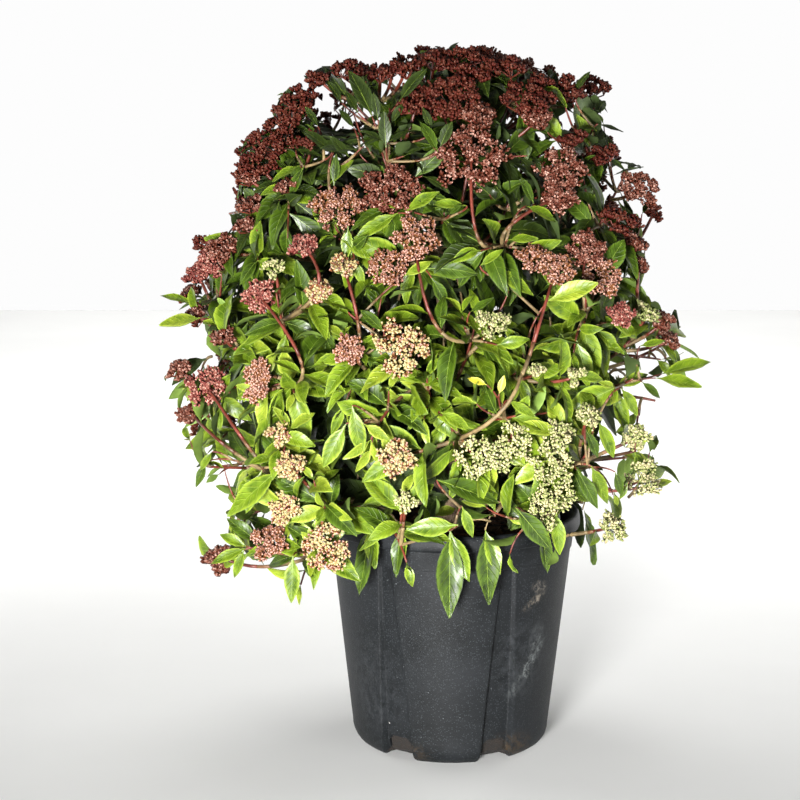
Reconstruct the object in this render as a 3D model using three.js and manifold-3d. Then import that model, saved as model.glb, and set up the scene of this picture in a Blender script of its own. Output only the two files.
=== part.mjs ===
// A potted laurustinus: an evergreen shrub with opposite leaves and flat heads of flower buds,
// in a black nursery pot with six panels. Millimetres, +Z up. The origin is on the ground under
// the middle of the pot, +X is to the right and -Y is towards the viewer.
import * as THREE from "three";
import { mergeVertices } from "three/addons/utils/BufferGeometryUtils.js";
import Module from "manifold-3d";

const wasm = await Module();
wasm.setup();

const { clamp, degToRad, lerp } = THREE.MathUtils;
const UP = new THREE.Vector3(0, 0, 1);
const GAP = 0.3; // between solids that touch on the real plant

// The pot: a tapered wall with six panels, a rolled lip and a drain notch under each groove.
const POT_HEIGHT = 275;
const RIM_RADIUS = 150;
const FOOT_RADIUS = 114; // of the straight wall, drawn on down to the ground
const WALL_FLARE = 0.109; // growth of that radius for each millimetre of height
const WALL = 2.8;
const FLOOR = 3;
const CORNER_DEPTH = 14; // how far the foot's corner rounds in
const CORNER_HEIGHT = 25;
const PANELS = 6;
const PANEL_TURN = degToRad(-94); // the middle of the panel that faces the viewer
const PANEL_TOP = 233; // where the grooves end under the plain band
const BAND_STEP = 1.2; // the band stands this far proud of the panels
const LIP_UNDER = 257;
const GROOVE_STEP = degToRad(1.3); // width of the groove's side walls
const GROOVE_TOP = { halfWidth: degToRad(3.6), depth: 3 };
const GROOVE_FOOT = { halfWidth: degToRad(10.6), depth: 9 };
const GROOVE_POINTS = 4; // vertices that draw one groove
const SECTOR_POINTS = 8; // vertices in one groove and panel
const NOTCH = { width: 29, height: 26, cut: 5, innerRadius: 78, length: 50 };
const NOTCH_MOUTH = { flare: 8, height: 12 }; // the notch widens towards the ground

// The potting mix.
const SOIL_MIDDLE = 247;
const SOIL_EDGE = 241;
const SOIL_FLAT_RADIUS = 45;

// The trunk: a short leader that runs up through the crown.
const TRUNK_RADIUS = 14;
const TRUNK_FLARE = 11; // of the root crown, beyond the trunk's own radius
const FLARE_HEIGHT = 26;
const TRUNK_SIDES = 10;
const TRUNK_STEPS = 9;
const TRUNK_LEAN = new THREE.Vector3(8, 10, 0); // of the trunk at mid-height

// The crown's outline, where its furthest tips reach: round in plan, narrowing upwards to a
// flattened top. Its middle is where it is widest.
const CROWN = {
  middle: new THREE.Vector3(-22, 0, 450),
  halfWidth: 308,
  halfDepth: 285,
  above: 360,
  below: 262,
  droop: 0.13, // the underside hangs lower on the left, by this share of the distance across
  taper: 0.35, // of the half-width, from the middle to the top
  squareAbove: 5,
  squareBelow: 3.4,
};

// The masses of foliage, tier by tier: how many, where their hearts lie and where on the trunk
// their boughs leave.
const TIERS = [
  { name: "low", count: 5, radius: 192, height: 312, turn: -54, fork: 264, rise: 0.62 },
  { name: "middle", count: 6, radius: 198, height: 468, turn: -90, fork: 292, rise: 0.36 },
  { name: "upper", count: 5, radius: 150, height: 622, turn: -90, fork: 338, rise: 0.3 },
];
const TOP_HEART = new THREE.Vector3(-14, 4, 716);
const FORK_STAGGER = 9; // every second bough of a tier leaves this much higher
const BOUGH_RADIUS = 5.4;
const STEM_TIP_RADIUS = 2.4;
const BOUGH_SIDES = 5;
const BOUGH_STEPS = 5;
const SPACE_MARGIN = 1.2; // of a mass's space, inside the planes between it and its neighbours
const STEM_MARGIN = 7; // how far a limb is inside the space when its mass begins

// The shoots: one for each head of flower buds, spread evenly over the crown.
const SHOOTS = 102;
const LOWEST_RISE = -0.79; // sine of the steepest way down
const TOP_DENSITY = 1.2; // above 1 the shoots stand closer towards the top
const FIRST_TURN = degToRad(212);
const GOLDEN_ANGLE = degToRad(137.508);
const SHOOT_SEED = 4100;
const SHORTEST_REACH = 0.94; // of the way to the outline
const LONGEST_REACH = 1;
const TIP_SLACK = 0.015; // by which a leaf's edge may cross the outline, as a share of the way there
const HEAD_MARGIN = 21; // least distance of a shoot's tip from its neighbours' spaces
const TWIG_RADIUS = 2.1;
const TWIG_TIP_RADIUS = 1.3;
const TWIG_SIDES = 3;
const TWIG_STEPS = 2;
const BARE_SHARE = 0.12; // shoots that end in leaves alone

// A leaf stands for a pair of real ones, so it is larger than life.
const LEAF_LENGTH = 108;
const LEAF_WIDTH = 50;
const LEAF_THICKNESS = 2.6;
const LEAF_FOLD = 4.5; // the blade's edges rise above its midrib
const LEAF_SAG = 0.16; // drop of the tip, as a share of the length
const LEAF_NODES = [0.5, 0.86]; // places of the leaf pairs along a shoot
const LEAF_SPREAD = 0.85;
const CLEAR_OF_LIMB = 6;
const CLEAR_OF_POT = 5;

// A head of flower buds: a shallow dome on an upturned cone of stalks.
const HEAD_RADIUS = [36, 50];
const HEAD_DEPTH = 0.62; // of its radius
const HEAD_DOME = 0.3;
const HEAD_SIDES = 7;
const HEAD_UNEVEN = 0.16;
const HEAD_SHRINKS = [1, 0.85, 0.7, 0.58];

// One plain linear congruential generator, so that every build grows the same plant.
function seeded(seed) {
  let state = seed >>> 0;
  const next = () => {
    state = (Math.imul(state, 1664525) + 1013904223) >>> 0;
    return state / 4294967296;
  };
  next();
  next();
  return next;
}

// Turns a closed geometry into a solid that can be cut and joined.
function toSolid(geometry) {
  geometry.deleteAttribute("normal");
  geometry.deleteAttribute("uv");
  const merged = mergeVertices(geometry, 1e-4);
  return new wasm.Manifold(
    new wasm.Mesh({
      numProp: 3,
      vertProperties: merged.attributes.position.array,
      triVerts: new Uint32Array(merged.index.array),
    }),
  );
}

// Turns a solid into a named mesh.
function toMesh(name, solid, material) {
  const { vertProperties, triVerts } = solid.getMesh();
  const geometry = new THREE.BufferGeometry();
  geometry.setAttribute("position", new THREE.BufferAttribute(vertProperties, 3));
  geometry.setIndex(new THREE.BufferAttribute(triVerts, 1));
  geometry.computeVertexNormals();
  const mesh = new THREE.Mesh(geometry, material);
  mesh.name = name;
  return mesh;
}

// Moves each vertex of a geometry to the place that move(point) gives it.
function reshape(geometry, move) {
  const { position } = geometry.attributes;
  const point = new THREE.Vector3();
  for (let i = 0; i < position.count; i++) {
    move(point.fromBufferAttribute(position, i));
    position.setXYZ(i, point.x, point.y, point.z);
  }
  return geometry;
}

// Two directions square to a given one. The first lies level.
function squareTo(direction) {
  const level = new THREE.Vector3().crossVectors(direction, UP);
  if (level.lengthSq() < 1e-6) level.set(1, 0, 0);
  level.normalize();
  return [level, new THREE.Vector3().crossVectors(level, direction).normalize()];
}

// A round limb along a curve, whose radius at a share t of its length is radiusAt(t, angle).
function limb(curve, from, to, sides, steps, radiusAt) {
  const straight = new THREE.CylinderGeometry(1, 1, 1, sides, steps);
  return reshape(straight, (point) => {
    const t = lerp(from, to, point.y + 0.5);
    const angle = Math.atan2(point.z, point.x);
    const radius = Math.hypot(point.x, point.z) * radiusAt(t, angle);
    const [level, steep] = squareTo(curve.getTangent(t));
    point
      .copy(curve.getPoint(t))
      .addScaledVector(level, radius * Math.cos(angle))
      .addScaledVector(steep, radius * Math.sin(angle));
  });
}

const wallRadius = (z) => FOOT_RADIUS + WALL_FLARE * z;

// The groove's half-width and depth at a height.
function grooveAt(z) {
  const down = clamp((PANEL_TOP - z) / PANEL_TOP, 0, 1);
  return {
    halfWidth: lerp(GROOVE_TOP.halfWidth, GROOVE_FOOT.halfWidth, down),
    depth: z > PANEL_TOP ? 0 : lerp(GROOVE_TOP.depth, GROOVE_FOOT.depth, down),
  };
}

// Angle and inward push of vertex k of the pot's round at a height.
function panelPlace(k, z) {
  const sector = (2 * Math.PI) / PANELS;
  const { halfWidth, depth } = grooveAt(z);
  const start = PANEL_TURN + sector * (Math.floor(k / SECTOR_POINTS) + 0.5);
  const inSector = k % SECTOR_POINTS;
  if (inSector < GROOVE_POINTS) {
    const floorHalf = halfWidth - GROOVE_STEP;
    const across = [-halfWidth, -floorHalf, floorHalf, halfWidth][inSector];
    const onFloor = Math.abs(across) < halfWidth;
    return { angle: start + across, push: onFloor ? depth : 0 };
  }
  const share = (inSector - GROOVE_POINTS + 1) / (SECTOR_POINTS - GROOVE_POINTS + 1);
  return { angle: start + lerp(halfWidth, sector - halfWidth, share), push: 0 };
}

// A turned body whose round is drawn by the pot's panels and grooves.
function panelled(profile) {
  const points = profile.map(([r, z]) => new THREE.Vector2(r, z));
  const count = PANELS * SECTOR_POINTS;
  const turned = new THREE.LatheGeometry(points, count);
  return reshape(turned, (point) => {
    const [radius, z] = [Math.hypot(point.x, point.z), point.y];
    const turn = Math.atan2(point.x, point.z) / (2 * Math.PI);
    const k = (Math.round(turn * count) + count) % count;
    const { angle, push } = panelPlace(k, z);
    const out = radius > 0 ? radius - push : 0;
    point.set(out * Math.cos(angle), out * Math.sin(angle), z);
  });
}

// The foot's rounded corner, as points from the ground up.
function cornerPoints(inset) {
  const middle = wallRadius(CORNER_HEIGHT) - CORNER_DEPTH;
  return [0, 45, 90].map((degrees) => {
    const turn = degToRad(degrees);
    const z = CORNER_HEIGHT - (CORNER_HEIGHT - inset) * Math.cos(turn);
    return [middle + (CORNER_DEPTH - inset) * Math.sin(turn), z];
  });
}

// Cuts the drain notches out of the foot, one under each groove.
function cutNotches(solid) {
  const half = NOTCH.width / 2;
  const mouth = half + (NOTCH_MOUTH.flare * (NOTCH_MOUTH.height + NOTCH.cut)) / NOTCH_MOUTH.height;
  const rightSide = [
    [mouth, -NOTCH.cut],
    [half, NOTCH_MOUTH.height],
    [half, NOTCH.height - NOTCH.cut],
    [half - NOTCH.cut, NOTCH.height],
  ];
  const leftSide = rightSide.map(([x, z]) => [-x, z]).reverse();
  const arch = new THREE.Shape([...rightSide, ...leftSide].map(([x, z]) => new THREE.Vector2(x, z)));
  let cut = solid;
  for (let k = 0; k < PANELS; k++) {
    const groove = PANEL_TURN + ((2 * Math.PI) / PANELS) * (k + 0.5);
    const tool = new THREE.ExtrudeGeometry(arch, { depth: NOTCH.length, bevelEnabled: false });
    tool.translate(0, 0, NOTCH.innerRadius).rotateX(Math.PI / 2).rotateZ(Math.PI);
    tool.rotateZ(groove - Math.PI / 2);
    cut = cut.subtract(toSolid(tool));
  }
  return cut;
}

function makePot() {
  const inner = (z) => wallRadius(z) - WALL;
  const outside = [
    [0, 0],
    ...cornerPoints(0),
    [wallRadius(PANEL_TOP), PANEL_TOP],
    [wallRadius(PANEL_TOP) + BAND_STEP, PANEL_TOP + 1],
    [wallRadius(LIP_UNDER) + BAND_STEP, LIP_UNDER],
  ];
  const lip = [
    [RIM_RADIUS - 2, LIP_UNDER],
    [RIM_RADIUS, LIP_UNDER + 6],
    [RIM_RADIUS - 4, POT_HEIGHT - 3],
    [inner(POT_HEIGHT), POT_HEIGHT],
  ];
  const inside = [
    [inner(PANEL_TOP + 1), PANEL_TOP + 1],
    [inner(PANEL_TOP), PANEL_TOP],
    ...cornerPoints(WALL).reverse(),
    [0, FLOOR],
  ];
  return cutNotches(toSolid(panelled([...outside, ...lip, ...inside])));
}

// The potting mix fills the pot. Its skin is drawn from the top down, as the pot's inside is, so
// that the facets of the two lie along each other; the reversed index turns its faces outward.
function makeSoil() {
  const inset = WALL + GAP;
  const edge = (z) => wallRadius(z) - inset;
  const skin = panelled([
    [0, SOIL_MIDDLE],
    [SOIL_FLAT_RADIUS, SOIL_MIDDLE],
    [edge(SOIL_EDGE), SOIL_EDGE],
    [edge(PANEL_TOP), PANEL_TOP],
    ...cornerPoints(inset).reverse(),
    [0, FLOOR + GAP],
  ]);
  skin.index.array.reverse();
  return toSolid(skin);
}

// The trunk's curve runs from just under the soil's face, where the trunk is cut off flat, to the
// heart of the top mass.
const TRUNK_CUT = SOIL_MIDDLE + GAP;
const FOOT = new THREE.Vector3(0, 0, TRUNK_CUT - 4);
const TRUNK_CURVE = new THREE.QuadraticBezierCurve3(
  FOOT,
  FOOT.clone().lerp(TOP_HEART, 0.5).add(TRUNK_LEAN),
  TOP_HEART,
);

// The trunk's radius, with low ribs where the roots flare out at its foot.
function trunkRadius(t, angle) {
  const height = t * (TOP_HEART.z - FOOT.z);
  const flare = Math.exp(-((height / FLARE_HEIGHT) ** 2));
  const ribs = 1 + 0.3 * Math.sin(5 * angle + 1);
  return lerp(TRUNK_RADIUS, STEM_TIP_RADIUS, t ** 0.7) + TRUNK_FLARE * flare * ribs;
}

const boughRadius = (t) => lerp(BOUGH_RADIUS, STEM_TIP_RADIUS, t);

// The share of the trunk's curve at which it passes a height.
function trunkShareAt(height) {
  let [low, high] = [0, 1];
  for (let i = 0; i < 30; i++) {
    const middle = (low + high) / 2;
    if (TRUNK_CURVE.getPoint(middle).z < height) low = middle;
    else high = middle;
  }
  return low;
}

// The plan of the crown: each mass has a name, a heart and the limb that leads to it.
function planMasses() {
  const masses = TIERS.flatMap((tier) =>
    Array.from({ length: tier.count }, (_, k) => {
      const turn = degToRad(tier.turn + (360 / tier.count) * k);
      const side = new THREE.Vector3(Math.cos(turn), Math.sin(turn), 0);
      const heart = side.clone().multiplyScalar(tier.radius);
      heart.add(new THREE.Vector3(CROWN.middle.x, CROWN.middle.y, tier.height));
      const fork = TRUNK_CURVE.getPoint(trunkShareAt(tier.fork + FORK_STAGGER * (k % 2)));
      const bend = fork.clone().lerp(heart, 0.55);
      bend.z = lerp(fork.z, heart.z, tier.rise) + (tier.rise > 0.5 ? 38 : 0);
      const curve = new THREE.QuadraticBezierCurve3(fork, bend, heart);
      return { name: `${tier.name}_${k + 1}`, heart, curve, radiusAt: boughRadius };
    }),
  );
  masses.push({ name: "top", heart: TOP_HEART, curve: TRUNK_CURVE, radiusAt: trunkRadius });
  return masses;
}

// How far inside mass i's space a point lies: its least distance from the planes that stand
// halfway between this mass's heart and the others'.
function depthInSpace(masses, i, point) {
  const { heart } = masses[i];
  let least = Infinity;
  masses.forEach((other, j) => {
    if (j === i) return;
    const apart = heart.distanceTo(other.heart);
    const difference = point.distanceToSquared(other.heart) - point.distanceToSquared(heart);
    least = Math.min(least, difference / (2 * apart));
  });
  return least;
}

// The share of its limb's curve at which a mass begins, once the limb is well inside its space.
function massStart(masses, i) {
  const steps = 200;
  for (let k = steps; k > 0; k--) {
    const depth = depthInSpace(masses, i, masses[i].curve.getPoint(k / steps));
    if (depth < STEM_MARGIN) return Math.max((k + 1) / steps, 0.3);
  }
  return 0.3;
}

// Measures how near a place comes to the crown's outline: 0 at its middle, 1 on the outline.
function crownMeasure({ x, y, z }) {
  const isAbove = z > 0;
  const power = isAbove ? CROWN.squareAbove : CROWN.squareBelow;
  const height = Math.abs(z) / (isAbove ? CROWN.above : CROWN.below - CROWN.droop * x);
  const narrow = isAbove ? 1 - CROWN.taper * height : 1;
  const level = Math.hypot(x / CROWN.halfWidth, y / CROWN.halfDepth) / narrow;
  return (level ** power + height ** power) ** (1 / power);
}

// How far the crown's outline lies from its middle, in a direction.
function crownReach(direction) {
  let [near, far] = [0, CROWN.halfWidth + CROWN.above];
  for (let i = 0; i < 24; i++) {
    const middle = (near + far) / 2;
    if (crownMeasure(direction.clone().multiplyScalar(middle)) < 1) near = middle;
    else far = middle;
  }
  return near;
}

// True where a place is no further out than the crown's furthest tips.
const isInCrown = (place) => crownMeasure(place.clone().sub(CROWN.middle)) < 1 + TIP_SLACK;

// Plans shoot k: its tip on the crown's outline, its mass and its curve from that mass's stem.
function planShoot(k, masses) {
  const random = seeded(SHOOT_SEED + 7919 * k);
  const rise = lerp(1, LOWEST_RISE, ((k + 0.5) / SHOOTS) ** TOP_DENSITY);
  const level = Math.sqrt(1 - rise * rise);
  const turn = FIRST_TURN + k * GOLDEN_ANGLE;
  const out = new THREE.Vector3(level * Math.cos(turn), level * Math.sin(turn), rise);
  const reach = crownReach(out) * lerp(SHORTEST_REACH, LONGEST_REACH, random());
  const size = lerp(...HEAD_RADIUS, random());
  const tip = CROWN.middle.clone().addScaledVector(out, reach - size * HEAD_DOME);
  const depths = masses.map((_, i) => depthInSpace(masses, i, tip));
  const i = depths.indexOf(Math.max(...depths));
  const mass = masses[i];
  for (let n = 0; n < 12 && depthInSpace(masses, i, tip) < HEAD_MARGIN; n++) {
    tip.lerp(mass.heart, 0.06);
  }
  const root = mass.curve.getPoint(lerp(mass.start, 1, lerp(0.25, 0.95, random())));
  const way = tip.clone().sub(root);
  const bend = root.clone().addScaledVector(way, 0.45);
  bend.x += way.x * 0.27;
  bend.y += way.y * 0.27;
  bend.z += way.z > 0 ? -way.z * 0.12 : -way.z * 0.4;
  return {
    mass: i,
    out,
    size,
    curve: new THREE.QuadraticBezierCurve3(root, bend, tip),
    spin: 2 * Math.PI * random(),
    bare: random() < BARE_SHARE,
    random,
  };
}

// True where a point is clear of the pot and of every limb outside the masses.
function isClear(point, masses) {
  const outOfPot = Math.hypot(point.x, point.y) > RIM_RADIUS + CLEAR_OF_POT;
  if (point.z < POT_HEIGHT + CLEAR_OF_POT && !outOfPot) return false;
  return masses.every(({ line }) =>
    line.every(({ place, radius }) => point.distanceTo(place) > radius + CLEAR_OF_LIMB),
  );
}

const onCurve = (curve, count) => Array.from({ length: count }, (_, k) => curve.getPoint(k / (count - 1)));

// The places that shape a leaf which grows from a root along a direction, its face turned to
// another: the blade folds up along its midrib and its tip sags.
function leafCorners(root, along, face, length, width) {
  const across = new THREE.Vector3().crossVectors(along, face);
  const middle = root.clone().addScaledVector(along, length * 0.45);
  const side = (sign) =>
    middle
      .clone()
      .addScaledVector(across, (sign * width) / 2)
      .addScaledVector(face, LEAF_FOLD);
  const tip = root.clone().addScaledVector(along, length);
  tip.z -= LEAF_SAG * length;
  return { root, middle, left: side(1), right: side(-1), tip };
}

// A leaf of eight faces: an octahedron whose corners are moved to the blade's.
function leafSolid(corners, face) {
  const { root, middle, left, right, tip } = corners;
  const blade = new THREE.OctahedronGeometry(1);
  reshape(blade, (point) => {
    if (point.x > 0.5) point.copy(tip);
    else if (point.x < -0.5) point.copy(root);
    else if (point.y > 0.5) point.copy(left);
    else if (point.y < -0.5) point.copy(right);
    else {
      const rise = (Math.sign(point.z) * LEAF_THICKNESS) / 2;
      point.copy(middle).addScaledVector(face, -rise);
    }
  });
  return toSolid(blade);
}

// The pair of leaves at one node of a shoot, each skipped where it would leave the mass's space
// or touch a limb or the pot.
function growLeafPair(shoot, t, turn, masses) {
  const stem = shoot.curve.getTangent(t);
  const [level, steep] = squareTo(stem);
  const root = shoot.curve.getPoint(t);
  const leaves = [];
  for (const sign of [1, -1]) {
    const side = level.clone().multiplyScalar(sign * Math.cos(turn));
    side.addScaledVector(steep, sign * Math.sin(turn));
    const along = stem.clone().multiplyScalar(1 - LEAF_SPREAD * 0.5);
    along.addScaledVector(side, LEAF_SPREAD).addScaledVector(UP, -0.12).normalize();
    const face = stem.clone().addScaledVector(along, -stem.dot(along)).normalize();
    for (const scale of [1, 0.8, 0.62]) {
      const size = scale * lerp(0.85, 1.1, shoot.random());
      const corners = leafCorners(root, along, face, LEAF_LENGTH * size, LEAF_WIDTH * size);
      const places = Object.values(corners);
      const between = places.map((place) => place.clone().lerp(corners.tip, 0.5));
      const inside = places.every(
        (place) => depthInSpace(masses, shoot.mass, place) > SPACE_MARGIN && isInCrown(place),
      );
      if (inside && [...places.slice(1), ...between].every((p) => isClear(p, masses))) {
        leaves.push(leafSolid(corners, face));
        break;
      }
    }
  }
  return leaves;
}

// The head of flower buds at a shoot's tip: a turned dome with an uneven edge, on a cone.
function growHead(shoot, masses) {
  const tip = shoot.curve.getPoint(1);
  const facing = shoot.curve.getTangent(1).multiplyScalar(0.6);
  facing.addScaledVector(shoot.out, 0.4).addScaledVector(UP, 0.3).normalize();
  const turned = new THREE.Quaternion().setFromUnitVectors(new THREE.Vector3(0, 1, 0), facing);
  const uneven = Array.from({ length: HEAD_SIDES }, () => 1 - HEAD_UNEVEN * shoot.random());
  for (const shrink of HEAD_SHRINKS) {
    const radius = shoot.size * shrink;
    const profile = [
      [0, -radius * HEAD_DEPTH],
      [radius, 0],
      [0, radius * HEAD_DOME],
    ].map(([r, y]) => new THREE.Vector2(r, y));
    const dome = reshape(new THREE.LatheGeometry(profile, HEAD_SIDES), (point) => {
      const share = Math.atan2(point.x, point.z) / (2 * Math.PI);
      const k = (Math.round(share * HEAD_SIDES) + HEAD_SIDES) % HEAD_SIDES;
      point.x *= uneven[k];
      point.z *= uneven[k];
      point.applyQuaternion(turned).add(tip);
    });
    const { position } = dome.attributes;
    const places = Array.from({ length: position.count }, (_, n) =>
      new THREE.Vector3().fromBufferAttribute(position, n),
    );
    const inside = places.every(
      (place) => depthInSpace(masses, shoot.mass, place) > SPACE_MARGIN && isClear(place, masses),
    );
    if (inside) return [toSolid(dome)];
  }
  return [];
}

// One shoot with its leaves and its head, or nothing where its twig would leave the mass's space
// or touch a limb or the pot.
function growShoot(shoot, masses) {
  const places = onCurve(shoot.curve, 12);
  const inSpace = places.every(
    (place) => depthInSpace(masses, shoot.mass, place) > SPACE_MARGIN + TWIG_RADIUS,
  );
  if (!inSpace || !places.slice(1).every((place) => isClear(place, masses))) return [];
  const radiusAt = (t) => lerp(TWIG_RADIUS, TWIG_TIP_RADIUS, t);
  const twig = toSolid(limb(shoot.curve, 0, 1, TWIG_SIDES, TWIG_STEPS, radiusAt));
  const pairs = LEAF_NODES.flatMap((t, n) =>
    growLeafPair(shoot, t, shoot.spin + (n * Math.PI) / 2, masses),
  );
  const head = shoot.bare ? [] : growHead(shoot, masses);
  return [twig, ...pairs, ...head];
}

// A mass as one solid: its stem, twigs, leaves and heads joined. Loose scraps are dropped, and
// so are the skins of sealed hollows, which fills them.
function growMass(mass, shoots, masses) {
  const { curve, radiusAt, start } = mass;
  const gap = GAP / curve.getLength();
  const stem = toSolid(limb(curve, start + gap, 1, BOUGH_SIDES, 3, radiusAt));
  const pieces = shoots.flatMap((shoot) => growShoot(shoot, masses));
  const joined = wasm.Manifold.union([stem, ...pieces]);
  return joined.decompose().sort((a, b) => b.volume() - a.volume())[0];
}

const material = (color, roughness) => new THREE.MeshStandardMaterial({ color, roughness });
const POT_PLASTIC = material(0x2c3034, 0.55);
const POTTING_MIX = material(0x34221a, 0.95);
const BARK = material(0x8a6d4f, 0.85);
const FOLIAGE = material(0x5c8a2b, 0.45);

const masses = planMasses();
masses.forEach((mass, i) => {
  mass.start = massStart(masses, i);
  mass.line = Array.from({ length: 25 }, (_, k) => {
    const t = (mass.start * k) / 24;
    return { place: mass.curve.getPoint(t), radius: mass.radiusAt(t, 0) };
  });
});
const shoots = Array.from({ length: SHOOTS }, (_, k) => planShoot(k, masses));

const plant = new THREE.Group();
plant.name = "potted_laurustinus";
plant.add(toMesh("pot", makePot(), POT_PLASTIC));
plant.add(toMesh("potting_mix", makeSoil(), POTTING_MIX));

const top = masses.at(-1);
const trunk = toSolid(limb(TRUNK_CURVE, 0, top.start, TRUNK_SIDES, TRUNK_STEPS, trunkRadius));
const below = new THREE.BoxGeometry(2 * SOIL_FLAT_RADIUS, 2 * SOIL_FLAT_RADIUS, FLARE_HEIGHT);
below.translate(0, 0, TRUNK_CUT - FLARE_HEIGHT / 2);
plant.add(toMesh("trunk", trunk.subtract(toSolid(below)), BARK));

const grown = (t, angle) => trunkRadius(t, angle) + GAP * 1.3;
const grownTrunk = toSolid(limb(TRUNK_CURVE, 0, top.start, TRUNK_SIDES, TRUNK_STEPS, grown));
for (const mass of masses.slice(0, -1)) {
  const whole = toSolid(limb(mass.curve, 0, mass.start, BOUGH_SIDES, BOUGH_STEPS, boughRadius));
  const parts = whole.subtract(grownTrunk).decompose();
  const bough = parts.sort((a, b) => b.volume() - a.volume())[0];
  plant.add(toMesh(`bough_${mass.name}`, bough, BARK));
}
masses.forEach((mass, i) => {
  const own = shoots.filter((shoot) => shoot.mass === i);
  plant.add(toMesh(`foliage_${mass.name}`, growMass(mass, own, masses), FOLIAGE));
});

export default plant;
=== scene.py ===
# %% [markdown]
# # A potted laurustinus
# The plant is an evergreen shrub with opposite, glossy leaves and flat heads of flower buds,
# and it stands in a black nursery pot. A solid model of it is loaded first. It fixes where the
# pot, the limbs and the masses of foliage are, and each piece made below takes the place of one
# kind of solid: moulded plastic for the pot, bark for the limbs, and thousands of small leaves
# and buds for the coarse masses.

# %% Load the solid model and keep its box
import math
from collections import namedtuple

import bmesh
import bpy
import numpy as np
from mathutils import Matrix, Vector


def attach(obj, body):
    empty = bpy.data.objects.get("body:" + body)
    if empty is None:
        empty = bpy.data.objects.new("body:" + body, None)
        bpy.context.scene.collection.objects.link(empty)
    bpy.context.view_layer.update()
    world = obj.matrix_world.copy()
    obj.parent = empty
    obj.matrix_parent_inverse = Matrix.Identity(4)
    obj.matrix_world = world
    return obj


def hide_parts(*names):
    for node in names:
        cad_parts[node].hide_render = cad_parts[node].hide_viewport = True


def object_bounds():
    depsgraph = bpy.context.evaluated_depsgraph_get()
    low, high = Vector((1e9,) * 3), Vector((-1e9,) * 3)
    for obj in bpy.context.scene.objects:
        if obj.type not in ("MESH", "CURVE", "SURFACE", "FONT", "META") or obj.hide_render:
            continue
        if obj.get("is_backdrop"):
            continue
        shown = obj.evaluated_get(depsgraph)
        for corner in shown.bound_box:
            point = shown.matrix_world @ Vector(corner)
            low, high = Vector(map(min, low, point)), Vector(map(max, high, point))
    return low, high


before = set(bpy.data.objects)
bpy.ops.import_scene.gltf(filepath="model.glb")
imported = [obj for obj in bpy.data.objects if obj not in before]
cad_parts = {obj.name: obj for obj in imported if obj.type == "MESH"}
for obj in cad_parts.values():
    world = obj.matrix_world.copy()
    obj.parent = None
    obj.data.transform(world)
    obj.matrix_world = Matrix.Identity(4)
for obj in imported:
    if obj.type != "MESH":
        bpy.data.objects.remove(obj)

cad_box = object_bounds()
print("solid model's box, metres:", [[round(v, 3) for v in corner] for corner in cad_box])

# %% [markdown]
# ## Numbers that repeat
# A plant looks random, yet the scene has to come out the same each time. One small generator,
# started from a seed, hands out numbers between 0 and 1. Each is worked out from the one before
# by a multiplication and an addition, and only its remainder is kept. The solid model used the
# same generator, so the same seeds lead to the same shoots.

# %% A seeded stream of numbers
FACTOR = 1664525
OFFSET = 1013904223
MODULUS = 2**32


def seeded(seed):
    """Returns a function that gives the next number of the seed's stream."""
    state = seed % MODULUS

    def draw(low=0.0, high=1.0):
        nonlocal state
        state = (state * FACTOR + OFFSET) % MODULUS
        return low + (high - low) * state / MODULUS

    # Seeds that lie close together start alike, so the first two numbers are thrown away.
    draw()
    draw()
    return draw


def stream(seeds, k):
    """The stream of the k-th piece of its kind. seeds holds the first seed and the step on."""
    first, step = seeds
    return seeded(first + step * k)


print("first numbers of seeds 1 and 2:", [round(seeded(seed)(), 4) for seed in (1, 2)])

# %% [markdown]
# ## Curves
# Every limb and twig follows a quadratic curve: a start, a bend that it leans towards, and an
# end. Sizes are in millimetres while the plant is planned, and become metres in the mesh.

# %% Points and directions on a curve
UP = np.array([0.0, 0.0, 1.0])


def unit(vectors):
    """Scales vectors to length 1."""
    return vectors / np.linalg.norm(vectors, axis=-1, keepdims=True)


def lerp(a, b, t):
    """Goes from a to b as t goes from 0 to 1."""
    return a + (b - a) * t


def on_curve(curve, t):
    """Points of a curve at the shares t of its way."""
    start, bend, end = curve
    t = np.asarray(t)[..., None]
    return (1 - t) ** 2 * start + 2 * t * (1 - t) * bend + t * t * end


def way_of(curve, t):
    """Directions of a curve at the shares t of its way."""
    start, bend, end = curve
    t = np.asarray(t)[..., None]
    return unit((1 - t) * (bend - start) + t * (end - bend))


def level_way(turn):
    """The level direction at an angle from x."""
    return np.array([math.cos(turn), math.sin(turn), 0])


def square_to(way):
    """Two directions square to each way. The first lies level."""
    level = unit(np.cross(way, UP))
    return level, unit(np.cross(level, way))


def ways_round(way, sides, turn=0.0):
    """Directions spread evenly round each way, square to it. turn is in sides."""
    level, steep = square_to(way)
    angle = ((np.arange(sides) + turn) * 2 * math.pi / sides)[:, None]
    return level[:, None] * np.cos(angle) + steep[:, None] * np.sin(angle)


print("square to x:", [list(way) for way in square_to(np.array([1.0, 0.0, 0.0]))])

# %% [markdown]
# ## From arrays to a mesh
# A million triangles are quick to make when whole arrays of points are filled at once. Each
# helper returns points and triangles, and one function turns them into a piece that rides on
# the plant's only body.

# %% Grids, copies and joins
def grid_triangles(rows, columns, closed=True):
    """Triangles of a grid of points. A closed grid's last column joins its first."""
    across = columns if closed else columns - 1
    row, column = np.meshgrid(np.arange(rows - 1), np.arange(across), indexing="ij")
    here = (row * columns + column).ravel()
    beside = (row * columns + (column + 1) % columns).ravel()
    first = np.stack([here, beside, beside + columns], 1)
    second = np.stack([here, beside + columns, here + columns], 1)
    return np.concatenate([first, second])


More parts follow.
